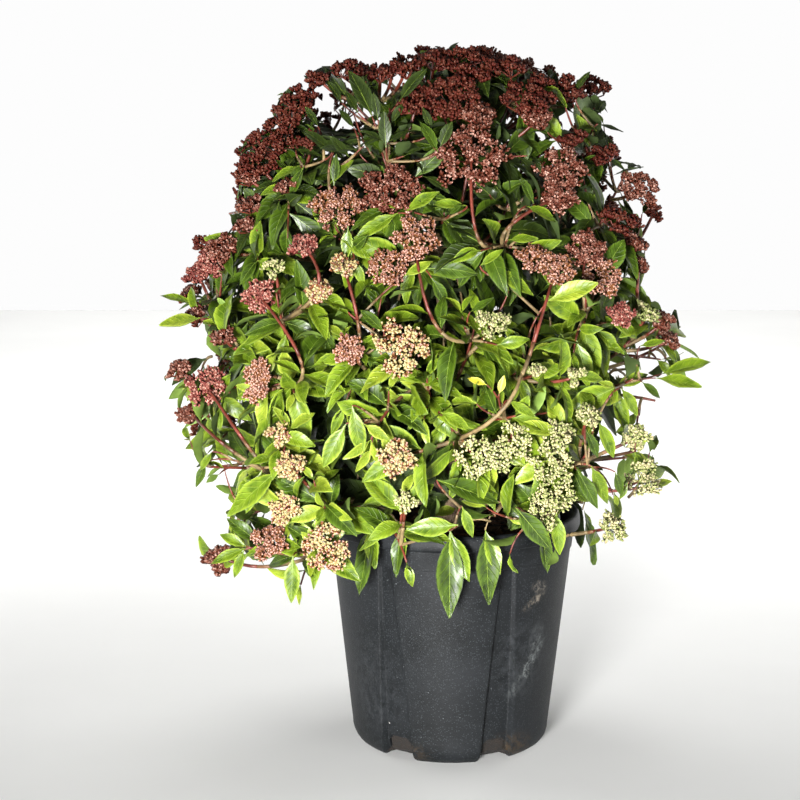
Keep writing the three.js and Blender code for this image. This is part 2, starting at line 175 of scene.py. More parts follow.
def join(parts):
    """Joins pairs of points and triangles into one pair."""
    starts = np.cumsum([0] + [len(points) for points, _ in parts])
    triangles = [faces + start for (_, faces), start in zip(parts, starts)]
    return np.concatenate([points for points, _ in parts]), np.concatenate(triangles)


def copies(points, triangles):
    """Lays out many copies at once: points has one row of points for each copy."""
    count, size = points.shape[:2]
    faces = triangles[None] + size * np.arange(count)[:, None, None]
    return points.reshape(-1, 3), faces.reshape(-1, 3)


print("a closed grid of 2 by 3 points has", len(grid_triangles(2, 3)), "triangles")


# %% One function makes every piece
MM = 0.001
triangles_made = {}


def make_piece(name, points, triangles, materials, slot, stands_for=(), which=None, uv=None):
    """Makes a smooth piece in metres from arrays of points in millimetres and of triangles."""
    mesh = bpy.data.meshes.new(name)
    mesh.vertices.add(len(points))
    mesh.vertices.foreach_set("co", (np.asarray(points) * MM).astype(np.float32).ravel())
    mesh.loops.add(triangles.size)
    mesh.loops.foreach_set("vertex_index", triangles.astype(np.int32).ravel())
    mesh.polygons.add(len(triangles))
    mesh.polygons.foreach_set("loop_start", np.arange(0, triangles.size, 3, dtype=np.int32))
    mesh.polygons.foreach_set("use_smooth", np.ones(len(triangles), dtype=bool))
    for material in materials:
        mesh.materials.append(material)
    if which is not None:
        mesh.polygons.foreach_set("material_index", which.astype(np.int32))
    if uv is not None:
        layer = mesh.uv_layers.new(name="blade")
        layer.data.foreach_set("uv", uv[triangles.ravel()].astype(np.float32).ravel())
    mesh.update(calc_edges=True)
    piece = bpy.data.objects.new(name, mesh)
    bpy.context.scene.collection.objects.link(piece)
    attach(piece, "root")
    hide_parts(*stands_for)
    triangles_made[name] = len(triangles)
    print(name, "has", len(triangles), "triangles")
    return piece


# %% [markdown]
# ## Materials
# Base colours are written as the hex values a colour picker shows, and one function turns them
# into the linear values that the renderer works in, by the sRGB standard's own curve. One more
# adds a node with its settings and its links, so that a material reads as a list of what it is
# made of.

# %% Colours and nodes
def hex_colour(code, alpha=1.0):
    """Turns an sRGB hex colour into linear red, green, blue and alpha."""
    shown = [int(code[k : k + 2], 16) / 255 for k in (1, 3, 5)]
    linear = [v / 12.92 if v <= 0.04045 else ((v + 0.055) / 1.055) ** 2.4 for v in shown]
    return (*linear, alpha)


def add_node(material, kind, values=None, links=None, **settings):
    """Adds a node: settings are its options, values fill sockets and links lead into them."""
    tree = material.node_tree
    node = tree.nodes.new("ShaderNode" + kind)
    for option, value in settings.items():
        setattr(node, option, value)
    for socket, value in (values or {}).items():
        node.inputs[socket].default_value = value
    for socket, source in (links or {}).items():
        tree.links.new(source, node.inputs[socket])
    return node


def start_material(name, colour, roughness, ior, **more):
    """A material whose shader has its plain values set, and the shader."""
    material = bpy.data.materials.new(name)
    material.use_nodes = True
    shader = material.node_tree.nodes["Principled BSDF"]
    shader.inputs["Base Color"].default_value = hex_colour(colour)
    shader.inputs["Roughness"].default_value = roughness
    shader.inputs["IOR"].default_value = ior
    for socket, value in more.items():
        shader.inputs[socket.replace("_", " ")].default_value = value
    return material, shader


def per_mm(size):
    """The scale at which a pattern's cells are this many millimetres wide."""
    return 1 / (size * MM)


print("leaf green in linear values:", [round(v, 3) for v in hex_colour("#5f8f2a")])

# %% [markdown]
# Most natural surfaces are two close colours that drift into each other, with a fine relief.
# This helper adds both: a cloudy pattern whose patches have a real size mixes the colours and
# shifts the roughness, and a finer one raises the surface.

# %% Cloudy colour and fine relief
# A noise pattern keeps near its middle, 0.5, so its useful span is narrower than 0 to 1.
COLOUR_SPAN = (0.35, 0.65)
GLOSS_SPAN = {"From Min": 0.3, "From Max": 0.7}


def mottle(material, shader, light, dark, patch_mm, grain_mm, relief_mm, rough):
    """Mixes two colours in patches and raises a fine grain, with sizes in millimetres."""
    place = add_node(material, "TexCoord").outputs["Object"]
    patches = add_node(
        material, "TexNoise", {"Scale": per_mm(patch_mm), "Detail": 4.0, "Roughness": 0.6},
        {"Vector": place},
    )
    ramp = add_node(material, "ValToRGB", links={"Fac": patches.outputs["Fac"]})
    for stop, position, colour in zip(ramp.color_ramp.elements, COLOUR_SPAN, (dark, light)):
        stop.position = position
        stop.color = hex_colour(colour)
    gloss = add_node(
        material, "MapRange", GLOSS_SPAN | {"To Min": rough[0], "To Max": rough[1]},
        {"Value": patches.outputs["Fac"]},
    )
    grain = add_node(
        material, "TexNoise", {"Scale": per_mm(grain_mm), "Detail": 3.0}, {"Vector": place}
    )
    bump = add_node(
        material, "Bump", {"Strength": 1.0, "Distance": relief_mm * MM},
        {"Height": grain.outputs["Fac"]},
    )
    links = material.node_tree.links
    links.new(ramp.outputs["Color"], shader.inputs["Base Color"])
    links.new(gloss.outputs["Result"], shader.inputs["Roughness"])
    links.new(bump.outputs["Normal"], shader.inputs["Normal"])
    return place, ramp, bump


# %% [markdown]
# ## Camera, floor and light
# The pot's outline gives the camera: it stands about 2.3 m away, a little above the crown's
# middle, and looks down by ten degrees. The photograph's light comes mostly from the front, so
# the crown's top stays darker than its middle and the gaps between leaves are nearly black. A
# soft lamp low in front does that. Its beam is narrow, so that it keeps off the walls, and a
# narrow beam needs few watts, because Blender gathers a lamp's light into it. A weaker lamp
# fills the right side, two stand behind for views from there, and one brightens the far floor.
# The room is pale near the horizon and dim above. Darker leaf skins at the crown's top and
# inside add painted shade to the lamp's.

# %% The camera
CAMERA_PLACE = (-0.0602, -2.2974, 0.7992)
DEGREES_DOWN = 9.79
CAMERA_PITCH = math.radians(90 - DEGREES_DOWN)
FOCAL_PIXELS = 2010.8
FRAME_PIXELS = 800
SENSOR_MM = 36

camera_data = bpy.data.cameras.new("camera")
camera_data.sensor_width = SENSOR_MM
camera_data.lens = FOCAL_PIXELS * SENSOR_MM / FRAME_PIXELS
camera = bpy.data.objects.new("camera", camera_data)
camera.location = CAMERA_PLACE
camera.rotation_euler = (CAMERA_PITCH, 0, 0)
bpy.context.scene.collection.objects.link(camera)
bpy.context.scene.camera = camera
print("lens, mm:", round(camera_data.lens, 1))


# %% The lamps
def add_lamp(name, place, target, size, watts, spread=180):
    """A square soft lamp that faces a target, with its beam's width in degrees."""
    data = bpy.data.lights.new(name, "AREA")
    data.size = size
    data.energy = watts
    data.spread = math.radians(spread)
    lamp = bpy.data.objects.new(name, data)
    lamp.location = place
    way = np.array(target) - np.array(place)
    lamp.rotation_euler = (
        math.acos(-way[2] / np.linalg.norm(way)),
        0,
        math.atan2(way[1], way[0]) - math.pi / 2,
    )
    bpy.context.scene.collection.objects.link(lamp)
    print(name, "gives", watts, "W")


CROWN_HEART = (0, 0, 0.4)
add_lamp("front_lamp", (-0.6, -2.45, 0.36), (0.03, 0, 0.33), size=0.5, watts=23, spread=58)
add_lamp("right_lamp", (2.2, -1.9, 0.6), CROWN_HEART, size=1.2, watts=20)
for side, x in (("left", -2.1), ("right", 2.1)):
    add_lamp(f"{side}_back_lamp", (x, 1.5, 0.7), CROWN_HEART, size=1.8, watts=36)
add_lamp("floor_lamp", (0, 2.9, 2.9), (0, 2.91, 0), size=4.6, watts=74, spread=70)

# %% The room and the floor
ROOM_PALE = 1.0
ROOM_DIM = 0.08
# The room goes from pale to dim between these heights over the horizon, 1 being straight up.
DIMMING = {"From Min": 0.03, "From Max": 0.12, "To Min": ROOM_PALE, "To Max": ROOM_DIM}
world = bpy.data.worlds.new("pale_room")
world.use_nodes = True
room = world.node_tree.nodes["Background"]
room.inputs["Color"].default_value = hex_colour("#fdfdfd")
way = add_node(world, "TexCoord")
axes = add_node(world, "SeparateXYZ", links={"Vector": way.outputs["Generated"]})
dimming = add_node(
    world, "MapRange", DIMMING, {"Value": axes.outputs["Z"]}, interpolation_type="SMOOTHSTEP"
)
world.node_tree.links.new(dimming.outputs["Result"], room.inputs["Strength"])
bpy.context.scene.world = world
bpy.context.scene.view_settings.view_transform = "Standard"

FLOOR_HALF = 4.0
floor_mesh = bpy.data.meshes.new("studio_floor")
corners = [(x * FLOOR_HALF, y * FLOOR_HALF, 0) for x, y in ((-1, -1), (1, -1), (1, 1), (-1, 1))]
floor_mesh.from_pydata(corners, [], [(0, 1, 2, 3)])
floor = bpy.data.objects.new("studio_floor", floor_mesh)
bpy.context.scene.collection.objects.link(floor)
# Rolled matt paint: nearly even, so that nothing on the floor draws the eye.
floor_paint, floor_shader = start_material("matt floor paint", "#f0f0ee", 0.9, 1.5)
mottle(floor_paint, floor_shader, "#f1f1ef", "#eeeeec", 400, 3, 0.02, (0.85, 0.95))
floor_mesh.materials.append(floor_paint)
floor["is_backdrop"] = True
print("the floor is", 2 * FLOOR_HALF, "m wide")

# %% [markdown]
# ## The pot: moulded polypropylene
# A nursery pot is injection moulded, often from recycled polypropylene coloured with carbon
# black. The eye reads it from a dull, slightly blue charcoal, a soft sheen along the moulded
# edges, pale dust and dried splashes of earth. The dust is small cells of a Voronoi pattern,
# kept only where the random colour of the cell is high. Smears of dried water and earth are
# broken clouds, each inside an ellipsoid that is set where the photograph shows one.

# %% The pot's plastic
# Recycled plastic shines less than its IOR alone would give, so its specular level is low.
pot_plastic, pot_shader = start_material(
    "moulded polypropylene", "#17191b", 0.5, 1.49, Specular_IOR_Level=0.18
)
pot_place, pot_ramp, _ = mottle(
    pot_plastic, pot_shader, "#181a1c", "#0f1112", 70, 1.4, 0.26, (0.46, 0.6)
)


def layer_over(material, below, colour, mask):
    """Lays a colour over another where the mask is high."""
    mix = add_node(material, "Mix", data_type="RGBA")
    for name, source in (("Factor", mask), ("A", below)):
        socket = next(s for s in mix.inputs if s.name == name and s.enabled)
        material.node_tree.links.new(source, socket)
    colour_in = next(s for s in mix.inputs if s.name == "B" and s.enabled)
    colour_in.default_value = hex_colour(colour)
    return next(s for s in mix.outputs if s.enabled)


def speck_mask(material, place, cell_mm, size, rarity):
    """Small round specks: near a cell's middle, in the few cells whose colour is high."""
    cells = add_node(material, "TexVoronoi", {"Scale": per_mm(cell_mm)}, {"Vector": place})
    near = add_node(
        material, "Math", {1: size}, {0: cells.outputs["Distance"]}, operation="LESS_THAN"
    )
    shade = add_node(material, "SeparateColor", links={"Color": cells.outputs["Color"]})
    chosen = add_node(
        material, "Math", {1: rarity}, {0: shade.outputs["Red"]}, operation="GREATER_THAN"
    )
    return add_node(
        material, "Math", links={0: near.outputs[0], 1: chosen.outputs[0]}, operation="MULTIPLY"
    ).outputs[0]


def smear_mask(material, place, middle_mm, half_mm, turn_degrees, cloud_mm):
    """A broken smear inside an ellipsoid that is turned about the axis from front to back."""
    inside = add_node(
        material, "Mapping",
        {"Location": [v * MM for v in middle_mm], "Scale": [v * MM for v in half_mm],
         "Rotation": (0, math.radians(turn_degrees), 0)},
        {"Vector": place}, vector_type="TEXTURE",
    )
    apart = add_node(
        material, "VectorMath", links={0: inside.outputs["Vector"]}, operation="LENGTH"
    )
    fade = add_node(
        material, "MapRange", {"From Min": 1.0, "From Max": 0.3, "To Min": 0.0, "To Max": 1.0},
        {"Value": apart.outputs["Value"]}, interpolation_type="SMOOTHSTEP",
    )
    cloud = add_node(
        material, "TexNoise",
        {"Scale": per_mm(cloud_mm), "Detail": 8.0, "Roughness": 0.75, "Distortion": 0.6},
        {"Vector": place},
    )
    broken = add_node(
        material, "MapRange", {"From Min": 0.44, "From Max": 0.68, "To Min": 0.0, "To Max": 0.8},
        {"Value": cloud.outputs["Fac"]},
    )
    return add_node(
        material, "Math", links={0: fade.outputs["Result"], 1: broken.outputs["Result"]},
        operation="MULTIPLY",
    ).outputs[0]


# %% Lay the smears and the dust over the plastic
# Each smear's middle and half-sizes, its turn in degrees, its clouds' size and its colour.
SMEARS = [
    ((84, -92, 108), (50, 40, 9), -58, 9, "#747877"),
    ((96, -84, 140), (14, 30, 26), 0, 8, "#5c5f5f"),
    ((92, -98, 190), (24, 30, 7), -35, 6, "#756d62"),
    ((98, -96, 205), (14, 30, 10), 20, 5, "#6c665e"),
    ((84, -100, 120), (60, 60, 70), 0, 12, "#2e3032"),
    ((-96, -86, 80), (60, 60, 90), 0, 10, "#2c2e30"),
    ((70, -94, 12), (44, 44, 26), 0, 9, "#3f3324"),
    ((-50, -110, 10), (34, 40, 20), 0, 8, "#352c22"),
    ((0, 0, 0), (132, 132, 16), 0, 9, "#2d2821"),
    ((-60, 116, 120), (60, 40, 10), 40, 9, "#646765"),
]
# Real dust is a tenth of a millimetre, too fine to show, so the specks are drawn as coarse as
# they need to show. Each kind has its cells' size in millimetres, how far a speck reaches from
# its cell's middle, the red above which a cell has one, and its colour.
SPECKS = [(2.2, 0.32, 0.4, "#26292b"), (9, 0.055, 0.7, "#606466"), (34, 0.022, 0.8, "#a9a8a3")]

layers = [(smear_mask, smear) for smear in SMEARS] + [(speck_mask, speck) for speck in SPECKS]
colour_so_far = pot_ramp.outputs["Color"]
for mask_of, (*sizes, colour) in layers:
    mask = mask_of(pot_plastic, pot_place, *sizes)
    colour_so_far = layer_over(pot_plastic, colour_so_far, colour, mask)
pot_plastic.node_tree.links.new(colour_so_far, pot_shader.inputs["Base Color"])
print("the plastic has", len(layers), "layers of smears and dust")

# %% [markdown]
# The wall is one grid of points, bent round the pot. Its columns crowd where a groove's edge
# runs, so that the smooth shading turns there within a millimetre or two, as a moulded edge
# does. The same few sizes as the solid's give its height, flare, panels and lip.

# %% The pot's sizes
POT_HEIGHT = 275
RIM_RADIUS = 150
FOOT_RADIUS = 114
WALL_FLARE = 0.109
WALL = 2.8
FLOOR = 3
CORNER_DEPTH = 14
CORNER_HEIGHT = 25
PANELS = 6
PANEL_TURN = math.radians(-94)
PANEL_TOP = 233
BAND_STEP = 1.2
LIP_UNDER = 257
GROOVE_TOP = (math.radians(3.6), 3.0)
GROOVE_FOOT = (math.radians(10.6), 9.0)
# Degrees inward from a groove's edge, and the share of its depth there.
GROOVE_SIDE = [(-1.3, 0), (-0.35, 0), (0.05, 0.06), (0.4, 0.3), (0.9, 0.72), (1.25, 0.95)]
GROOVE_SIDE += [(1.6, 1), (2.4, 1)]
PANEL_POINTS = 7


def wall_radius(z):
    """The straight wall's outer radius at a height."""
    return FOOT_RADIUS + WALL_FLARE * z


def pot_ring(radius, z):
    """One ring of the pot's wall, pressed in at its grooves."""
    down = min(max((PANEL_TOP - z) / PANEL_TOP, 0), 1)
    half, depth = (lerp(a, b, down) for a, b in zip(GROOVE_TOP, GROOVE_FOOT))
    if z > PANEL_TOP:
        depth = 0
    sector = 2 * math.pi / PANELS
    left = [(-half + math.radians(inward), share) for inward, share in GROOVE_SIDE]
    right = [(-across, share) for across, share in reversed(left)]
    first = right[-1][0]
    panel = np.linspace(first, sector - first, PANEL_POINTS + 2)[1:-1]
    places = left + right + [(across, 0) for across in panel]
    points = []
    for k in range(PANELS):
        middle = PANEL_TURN + sector * (k + 0.5)
        for across, share in places:
            out = max(radius - depth * share, 0)
            angle = middle + across
            points.append((out * math.cos(angle), out * math.sin(angle), z))
    return points


# %% The pot's rings, from the underside up, over the lip and down inside
def corner_rings(inset, steps=7):
    """The foot's rounded corner, from the ground up."""
    middle = wall_radius(CORNER_HEIGHT) - CORNER_DEPTH
    rings = []
    for turn in np.linspace(0, math.pi / 2, steps):
        out = middle + (CORNER_DEPTH - inset) * math.sin(turn)
        rings.append((out, CORNER_HEIGHT - (CORNER_HEIGHT - inset) * math.cos(turn)))
    return rings


def inner(z):
    """The straight wall's inner radius at a height."""
    return wall_radius(z) - WALL


# Each pair is a ring's radius and its height.
outside = [(1, 0), (90, 0), *corner_rings(0)]
outside += [(wall_radius(z), z) for z in np.linspace(35, PANEL_TOP - 2, 8)]
outside += [(wall_radius(PANEL_TOP), PANEL_TOP), (wall_radius(PANEL_TOP), PANEL_TOP + 0.4)]
outside += [(wall_radius(z) + BAND_STEP, z) for z in (PANEL_TOP + 1.2, PANEL_TOP + 2.4, 245)]
outside += [(wall_radius(LIP_UNDER) + BAND_STEP, LIP_UNDER - s) for s in (1.5, 0.3)]
lip = [(145.5, 257.0), (148.2, 257.2), (149.4, 258.2), (150, 260.5), (150, 264), (149.7, 268)]
lip += [(148.8, 271.5), (147.2, 273.9), (145.2, 275), (143.4, 274.9), (141.9, 274), (141.2, 272)]
inside = [(inner(z), z) for z in (262, 250, 242, PANEL_TOP + 1, PANEL_TOP, 180, 120, 70)]
inside += [*reversed(corner_rings(WALL, 5)), (60, FLOOR), (1, FLOOR)]
profile = outside + lip + inside
rings = np.array([pot_ring(radius, z) for radius, z in profile])
rows, columns = rings.shape[:2]
middles = np.array([[0, 0, 0], [0, 0, FLOOR]])
pot_points = np.concatenate([rings.reshape(-1, 3), middles])
caps = []
for k in range(columns):
    following = (k + 1) % columns
    caps.append((rows * columns, following, k))
    last = (rows - 1) * columns
    caps.append((rows * columns + 1, last + k, last + following))
pot_triangles = np.concatenate([grid_triangles(rows, columns), np.array(caps)])
pot = make_piece("pot_shell", pot_points, pot_triangles, [pot_plastic], "pot", ["pot"])

# %% [markdown]
# Water drains through a notch under each groove. Six small blocks with the notch's outline are
# cut from the shell by a boolean, and then the true corners are marked as sharp, so that the
# smooth shading stops at the cut.

# %% Cut the drain notches
# A notch's half-width, its height, its cut corners, and the radii that its block spans. Its
# mouth flares towards the ground.
NOTCH = {"half": 14.5, "height": 26, "cut": 5, "near": 78, "far": 128}
MOUTH = {"flare": 8, "height": 12}
SHELL_SHARP = math.radians(38)


def notch_block():
    """A prism with the notches' outline, one for each groove."""
    mouth = NOTCH["half"] + MOUTH["flare"] * (MOUTH["height"] + NOTCH["cut"]) / MOUTH["height"]
    side = [(mouth, -NOTCH["cut"]), (NOTCH["half"], MOUTH["height"])]
    side += [(NOTCH["half"], NOTCH["height"] - NOTCH["cut"])]
    side += [(NOTCH["half"] - NOTCH["cut"], NOTCH["height"])]
    outline = side + [(-x, z) for x, z in reversed(side)]
    mesh = bmesh.new()
    for k in range(PANELS):
        turn = PANEL_TURN + 2 * math.pi / PANELS * (k + 0.5)
        out = level_way(turn)
        across = np.array([-out[1], out[0], 0])
        ends = [
            [mesh.verts.new((out * d + across * x + UP * z) * MM) for x, z in outline]
            for d in (NOTCH["near"], NOTCH["far"])
        ]
        mesh.faces.new(reversed(ends[0]))
        mesh.faces.new(ends[1])
        for i in range(len(outline)):
            j = (i + 1) % len(outline)
            mesh.faces.new((ends[0][i], ends[0][j], ends[1][j], ends[1][i]))
    bmesh.ops.recalc_face_normals(mesh, faces=mesh.faces)
    data = bpy.data.meshes.new("notch_cutter")
    mesh.to_mesh(data)
    mesh.free()
    return bpy.data.objects.new("notch_cutter", data)


cutter = notch_block()
bpy.context.scene.collection.objects.link(cutter)
cut = pot.modifiers.new("notches", "BOOLEAN")
cut.object = cutter
cut.solver = "EXACT"
evaluated = pot.evaluated_get(bpy.context.evaluated_depsgraph_get())
shell = bpy.data.meshes.new_from_object(evaluated)
pot.modifiers.clear()
pot.data = shell
bpy.data.objects.remove(cutter)
shell.set_sharp_from_angle(angle=SHELL_SHARP)
print("pot shell after the cuts:", len(shell.polygons), "faces")

# %% [markdown]
# ## The potting mix: composted bark
# The mix is dark, moist, composted bark with lighter chips on top. The solid keeps its place
# and gets a darker copy of the mix's material, painted shade for the mix deep in the pot. A
# low relief and several hundred irregular chips lie on it, each a small block whose eight
# corners are shifted by chance.

# %% Composted bark
# Moist fibres soak up the light, so the mix is dark and rough, and chips that dried are paler.
mix_bark, mix_shader = start_material("moist composted bark", "#2c1d14", 0.85, 1.5)
mottle(mix_bark, mix_shader, "#3b281b", "#150d08", 9, 2.2, 1.6, (0.7, 0.95))
chip_bark, chip_shader = start_material("weathered bark chip", "#5a3e2a", 0.8, 1.5)
mottle(chip_bark, chip_shader, "#6e4d35", "#392417", 7, 1.1, 0.5, (0.65, 0.9))
# The solid's darker copy of the mix is painted shade: it darkens the mix that shows deep in the
# pot.
painted_shade_mix, painted_shade_shader = start_material("bark in painted shade deep in the pot", "#150e09", 0.9, 1.5)
mottle(painted_shade_mix, painted_shade_shader, "#1a120b", "#0c0805", 9, 2.2, 1.2, (0.8, 0.95))
bpy.data.objects["potting_mix"].data.materials.clear()
bpy.data.objects["potting_mix"].data.materials.append(painted_shade_mix)

# %% The mix's lumpy face
SOIL_MIDDLE = 247
SOIL_EDGE = 241
SOIL_RADIUS = 136
LEVEL_RADIUS = 45
LUMP_HEIGHT = 1.5
CRUMB_HEIGHT = 0.7
# The relief stands this much over the solid's face, so that the solid doesn't show through it.
RELIEF_LIFT = 1.6
RELIEF_RINGS = 30
RELIEF_SPOKES = 90


def soil_height(radius, angle):
    """The mix's face: level in the middle, lower at the wall, with lumps and crumbs."""
    share = np.clip((radius - LEVEL_RADIUS) / (SOIL_RADIUS - LEVEL_RADIUS), 0, 1)
    slope = lerp(SOIL_MIDDLE, SOIL_EDGE, share)
    x, y = radius * np.cos(angle), radius * np.sin(angle)
    lumps = np.sin(x / 7.1 + 2 * np.sin(y / 11)) * np.sin(y / 6.3 + 2 * np.sin(x / 13))
    crumbs = np.sin(x / 2.3 + y / 3.1) * np.sin(y / 2.1 - x / 3.7)
    return slope + RELIEF_LIFT + LUMP_HEIGHT * lumps + CRUMB_HEIGHT * crumbs


spoke = np.arange(RELIEF_SPOKES) * 2 * math.pi / RELIEF_SPOKES
ring_radius = np.linspace(2, SOIL_RADIUS, RELIEF_RINGS)
radius_grid, angle_grid = np.meshgrid(ring_radius, spoke, indexing="ij")
relief = np.stack(
    [
        radius_grid * np.cos(angle_grid),
        radius_grid * np.sin(angle_grid),
        soil_height(radius_grid, angle_grid),
    ],
    -1,
)
relief_triangles = grid_triangles(RELIEF_RINGS, RELIEF_SPOKES)
make_piece("soil_relief", relief.reshape(-1, 3), relief_triangles, [mix_bark], "potting_mix")


# %% Bark chips
CHIPS = 620
CHIP_SEEDS = (9000, 31)
CHIP_REACH = 130
CHIP_SIZES = ((7, 24), (4, 12), (1.5, 4))
CORNER_SHIFT = 0.16
CHIP_TIP = 0.35
CHIP_LIFT = 2.5
CHIP_SHARP = math.radians(30)
# One chip in this many has the mix's own darker skin.
DARK_CHIP = 3
BLOCK = np.array([[x, y, z] for z in (-1, 1) for y in (-1, 1) for x in (-1, 1)]) / 2
BLOCK_TRIANGLES = np.array(
    [[0, 2, 3], [0, 3, 1], [4, 5, 7], [4, 7, 6], [0, 1, 5], [0, 5, 4]]
    + [[2, 6, 7], [2, 7, 3], [0, 4, 6], [0, 6, 2], [1, 3, 7], [1, 7, 5]]
)
chips = []
for k in range(CHIPS):
    draw = stream(CHIP_SEEDS, k)
    radius, angle = CHIP_REACH * math.sqrt(draw()), draw(0, 2 * math.pi)
    size = np.array([draw(*sizes) for sizes in CHIP_SIZES])
    shifts = [[draw(-CORNER_SHIFT, CORNER_SHIFT) for _ in range(3)] for _ in BLOCK]
    corners = BLOCK + shifts
    turn, tip = draw(0, 2 * math.pi), draw(-CHIP_TIP, CHIP_TIP)
    corners = corners * size
    corners = corners + UP * (corners[:, :1] * math.sin(tip))
    cosine, sine = math.cos(turn), math.sin(turn)
    x = corners[:, 0] * cosine - corners[:, 1] * sine
    y = corners[:, 0] * sine + corners[:, 1] * cosine
    base = [radius * math.cos(angle), radius * math.sin(angle), 0]
    base[2] = float(soil_height(np.array(radius), np.array(angle))) + draw(0, CHIP_LIFT)
    chips.append(np.stack([x, y, corners[:, 2]], 1) + base)
chip_points, chip_triangles = copies(np.array(chips), BLOCK_TRIANGLES)
dark = np.repeat(np.arange(CHIPS) % DARK_CHIP == 0, len(BLOCK_TRIANGLES))
skins = [chip_bark, mix_bark]
chip_piece = make_piece("bark_chips", chip_points, chip_triangles, skins, "potting_mix", which=dark)
chip_piece.data.set_sharp_from_angle(angle=CHIP_SHARP)

# %% [markdown]
# ## The plan of the shrub
# The solid model was grown by a rule: a short trunk, tiers of boughs, a mass of foliage at the
# end of each, and shoots that reach out to the crown's outline. The rule is written again
# here with the same sizes, so the fine twigs below start from the same limbs and end at the
# same tips.

# %% The trunk and the masses
TOP_HEART = np.array([-14.0, 4.0, 716.0])
FOOT = np.array([0.0, 0.0, 243.3])
TRUNK_LEAN = np.array([8.0, 10.0, 0.0])
TRUNK_CURVE = np.array([FOOT, (FOOT + TOP_HEART) / 2 + TRUNK_LEAN, TOP_HEART])
TRUNK_RADIUS = 14
TRUNK_FLARE = 11
FLARE_HEIGHT = 26
BOUGH_RADIUS = 5.4
STEM_TIP_RADIUS = 2.4
CROWN_MIDDLE = np.array([-22.0, 0.0, 450.0])
Tier = namedtuple("Tier", "name count radius height turn fork rise")
# How many boughs a tier has, how far out and how high they end, the first one's turn in degrees,
# the height of their forks on the trunk, and the share of the climb that is made by the bend.
TIERS = [
    Tier("low", 5, 192, 312, -54, 264, 0.62),
    Tier("middle", 6, 198, 468, -90, 292, 0.36),
    Tier("upper", 5, 150, 622, -90, 338, 0.3),
]
BOUGH_BEND = 0.55
# A low bough arches over the pot's rim.
LOW_ARCH = 38
FORK_STAGGER = 9
TRUNK_SAMPLES = 4001


def trunk_share_at(height):
    """The share of the trunk's curve at which it passes a height."""
    shares = np.linspace(0, 1, TRUNK_SAMPLES)
    return float(shares[np.searchsorted(on_curve(TRUNK_CURVE, shares)[:, 2], height)])


def plan_masses():
    """Each mass of foliage with its name, its heart and the curve of the limb that leads there."""
    masses = []
    for tier in TIERS:
        for k in range(tier.count):
            turn = math.radians(tier.turn + 360 / tier.count * k)
            heart = level_way(turn) * tier.radius + [CROWN_MIDDLE[0], CROWN_MIDDLE[1], tier.height]
            fork = on_curve(TRUNK_CURVE, trunk_share_at(tier.fork + FORK_STAGGER * (k % 2)))
            bend = lerp(fork, heart, BOUGH_BEND)
            arch = LOW_ARCH if tier.name == "low" else 0
            bend[2] = lerp(fork[2], heart[2], tier.rise) + arch
            curve = np.array([fork, bend, heart])
            masses.append({"name": f"{tier.name}_{k + 1}", "heart": heart, "curve": curve})
    masses.append({"name": "top", "heart": TOP_HEART, "curve": TRUNK_CURVE})
    return masses


masses = plan_masses()
hearts = np.array([mass["heart"] for mass in masses])
bough_nodes = [f"bough_{mass['name']}" for mass in masses[:-1]]
foliage_nodes = [f"foliage_{mass['name']}" for mass in masses]
print(len(masses), "masses of foliage")


# %% The space of each mass
def depth_in_spaces(points):
    """How far each point lies inside each mass's space, from the planes half way to the others."""
    to_heart = ((points[..., None, :] - hearts) ** 2).sum(-1)
    apart = np.linalg.norm(hearts[:, None] - hearts, axis=-1)
    np.fill_diagonal(apart, 1)
    depth = (to_heart[..., None, :] - to_heart[..., :, None]) / (2 * apart)
    own = np.eye(len(hearts), dtype=bool)
    return np.where(own, np.inf, depth).min(-1)


STEM_MARGIN = 7
STEM_STEPS = 200
EARLIEST_START = 0.3
for index, mass in enumerate(masses):
    shares = np.linspace(0, 1, STEM_STEPS + 1)
    depth = depth_in_spaces(on_curve(mass["curve"], shares))[:, index]
    shallow = np.nonzero(depth[1:] < STEM_MARGIN)[0] + 1
    start = (shallow[-1] + 1) / STEM_STEPS if len(shallow) else 0
    mass["start"] = max(start, EARLIEST_START)
print("the top mass begins at", masses[-1]["start"], "of the trunk")

# %% [markdown]
# ## Limbs with bark
# The limbs are tubes whose radius follows the taper of the solids. Bark relief is real
# displacement here: low ribs run along the limb, wander slowly round it, and finer cracks
# break them up. Its material is grey-brown, mottled and dry.

# %% Bark
# Dry, fissured bark scatters the light, so it is rough, and its hollows are darker.
bark, bark_shader = start_material("fissured grey-brown bark", "#66513d", 0.85, 1.5)
mottle(bark, bark_shader, "#7d6850", "#3c2e22", 14, 2.5, 1.2, (0.75, 0.92))


def tube(curve, radius_at, sides, steps, start=0.0, end=1.0):
    """A closed tube along a curve. radius_at takes shares of the curve and angles."""
    t = np.linspace(start, end, steps + 1)
    centre, way = on_curve(curve, t), way_of(curve, t)
    angle = np.arange(sides) * 2 * math.pi / sides
    reach = radius_at(t[:, None], angle[None])[..., None]
    wall = centre[:, None] + ways_round(way, sides) * reach
    points = np.concatenate([wall.reshape(-1, 3), centre[:1], centre[-1:]])
    here = np.arange(sides)
    following = (here + 1) % sides
    last = steps * sides
    foot = np.stack([np.full(sides, last + sides), following, here], 1)
    tip = np.stack([np.full(sides, last + sides + 1), last + here, last + following], 1)
    return points, np.concatenate([grid_triangles(steps + 1, sides), foot, tip])


# Waves add up to the relief. Each has its own count of turns round the limb and its own length
# along it in millimetres, none a multiple of another, so that they never repeat.
def bark_relief(t, angle, length):
    """Ribs and cracks along a limb, as a share of its radius."""
    along = t * length
    ribs = 0.05 * np.sin(5 * angle + along / 31) * np.sin(2 * angle - along / 47)
    cracks = 0.035 * np.sin(13 * angle + 2.2 * np.sin(along / 9.5))
    rings = 0.02 * np.sin(along / 3.4 + 3 * np.sin(angle * 2))
    return 1 + ribs + cracks + rings


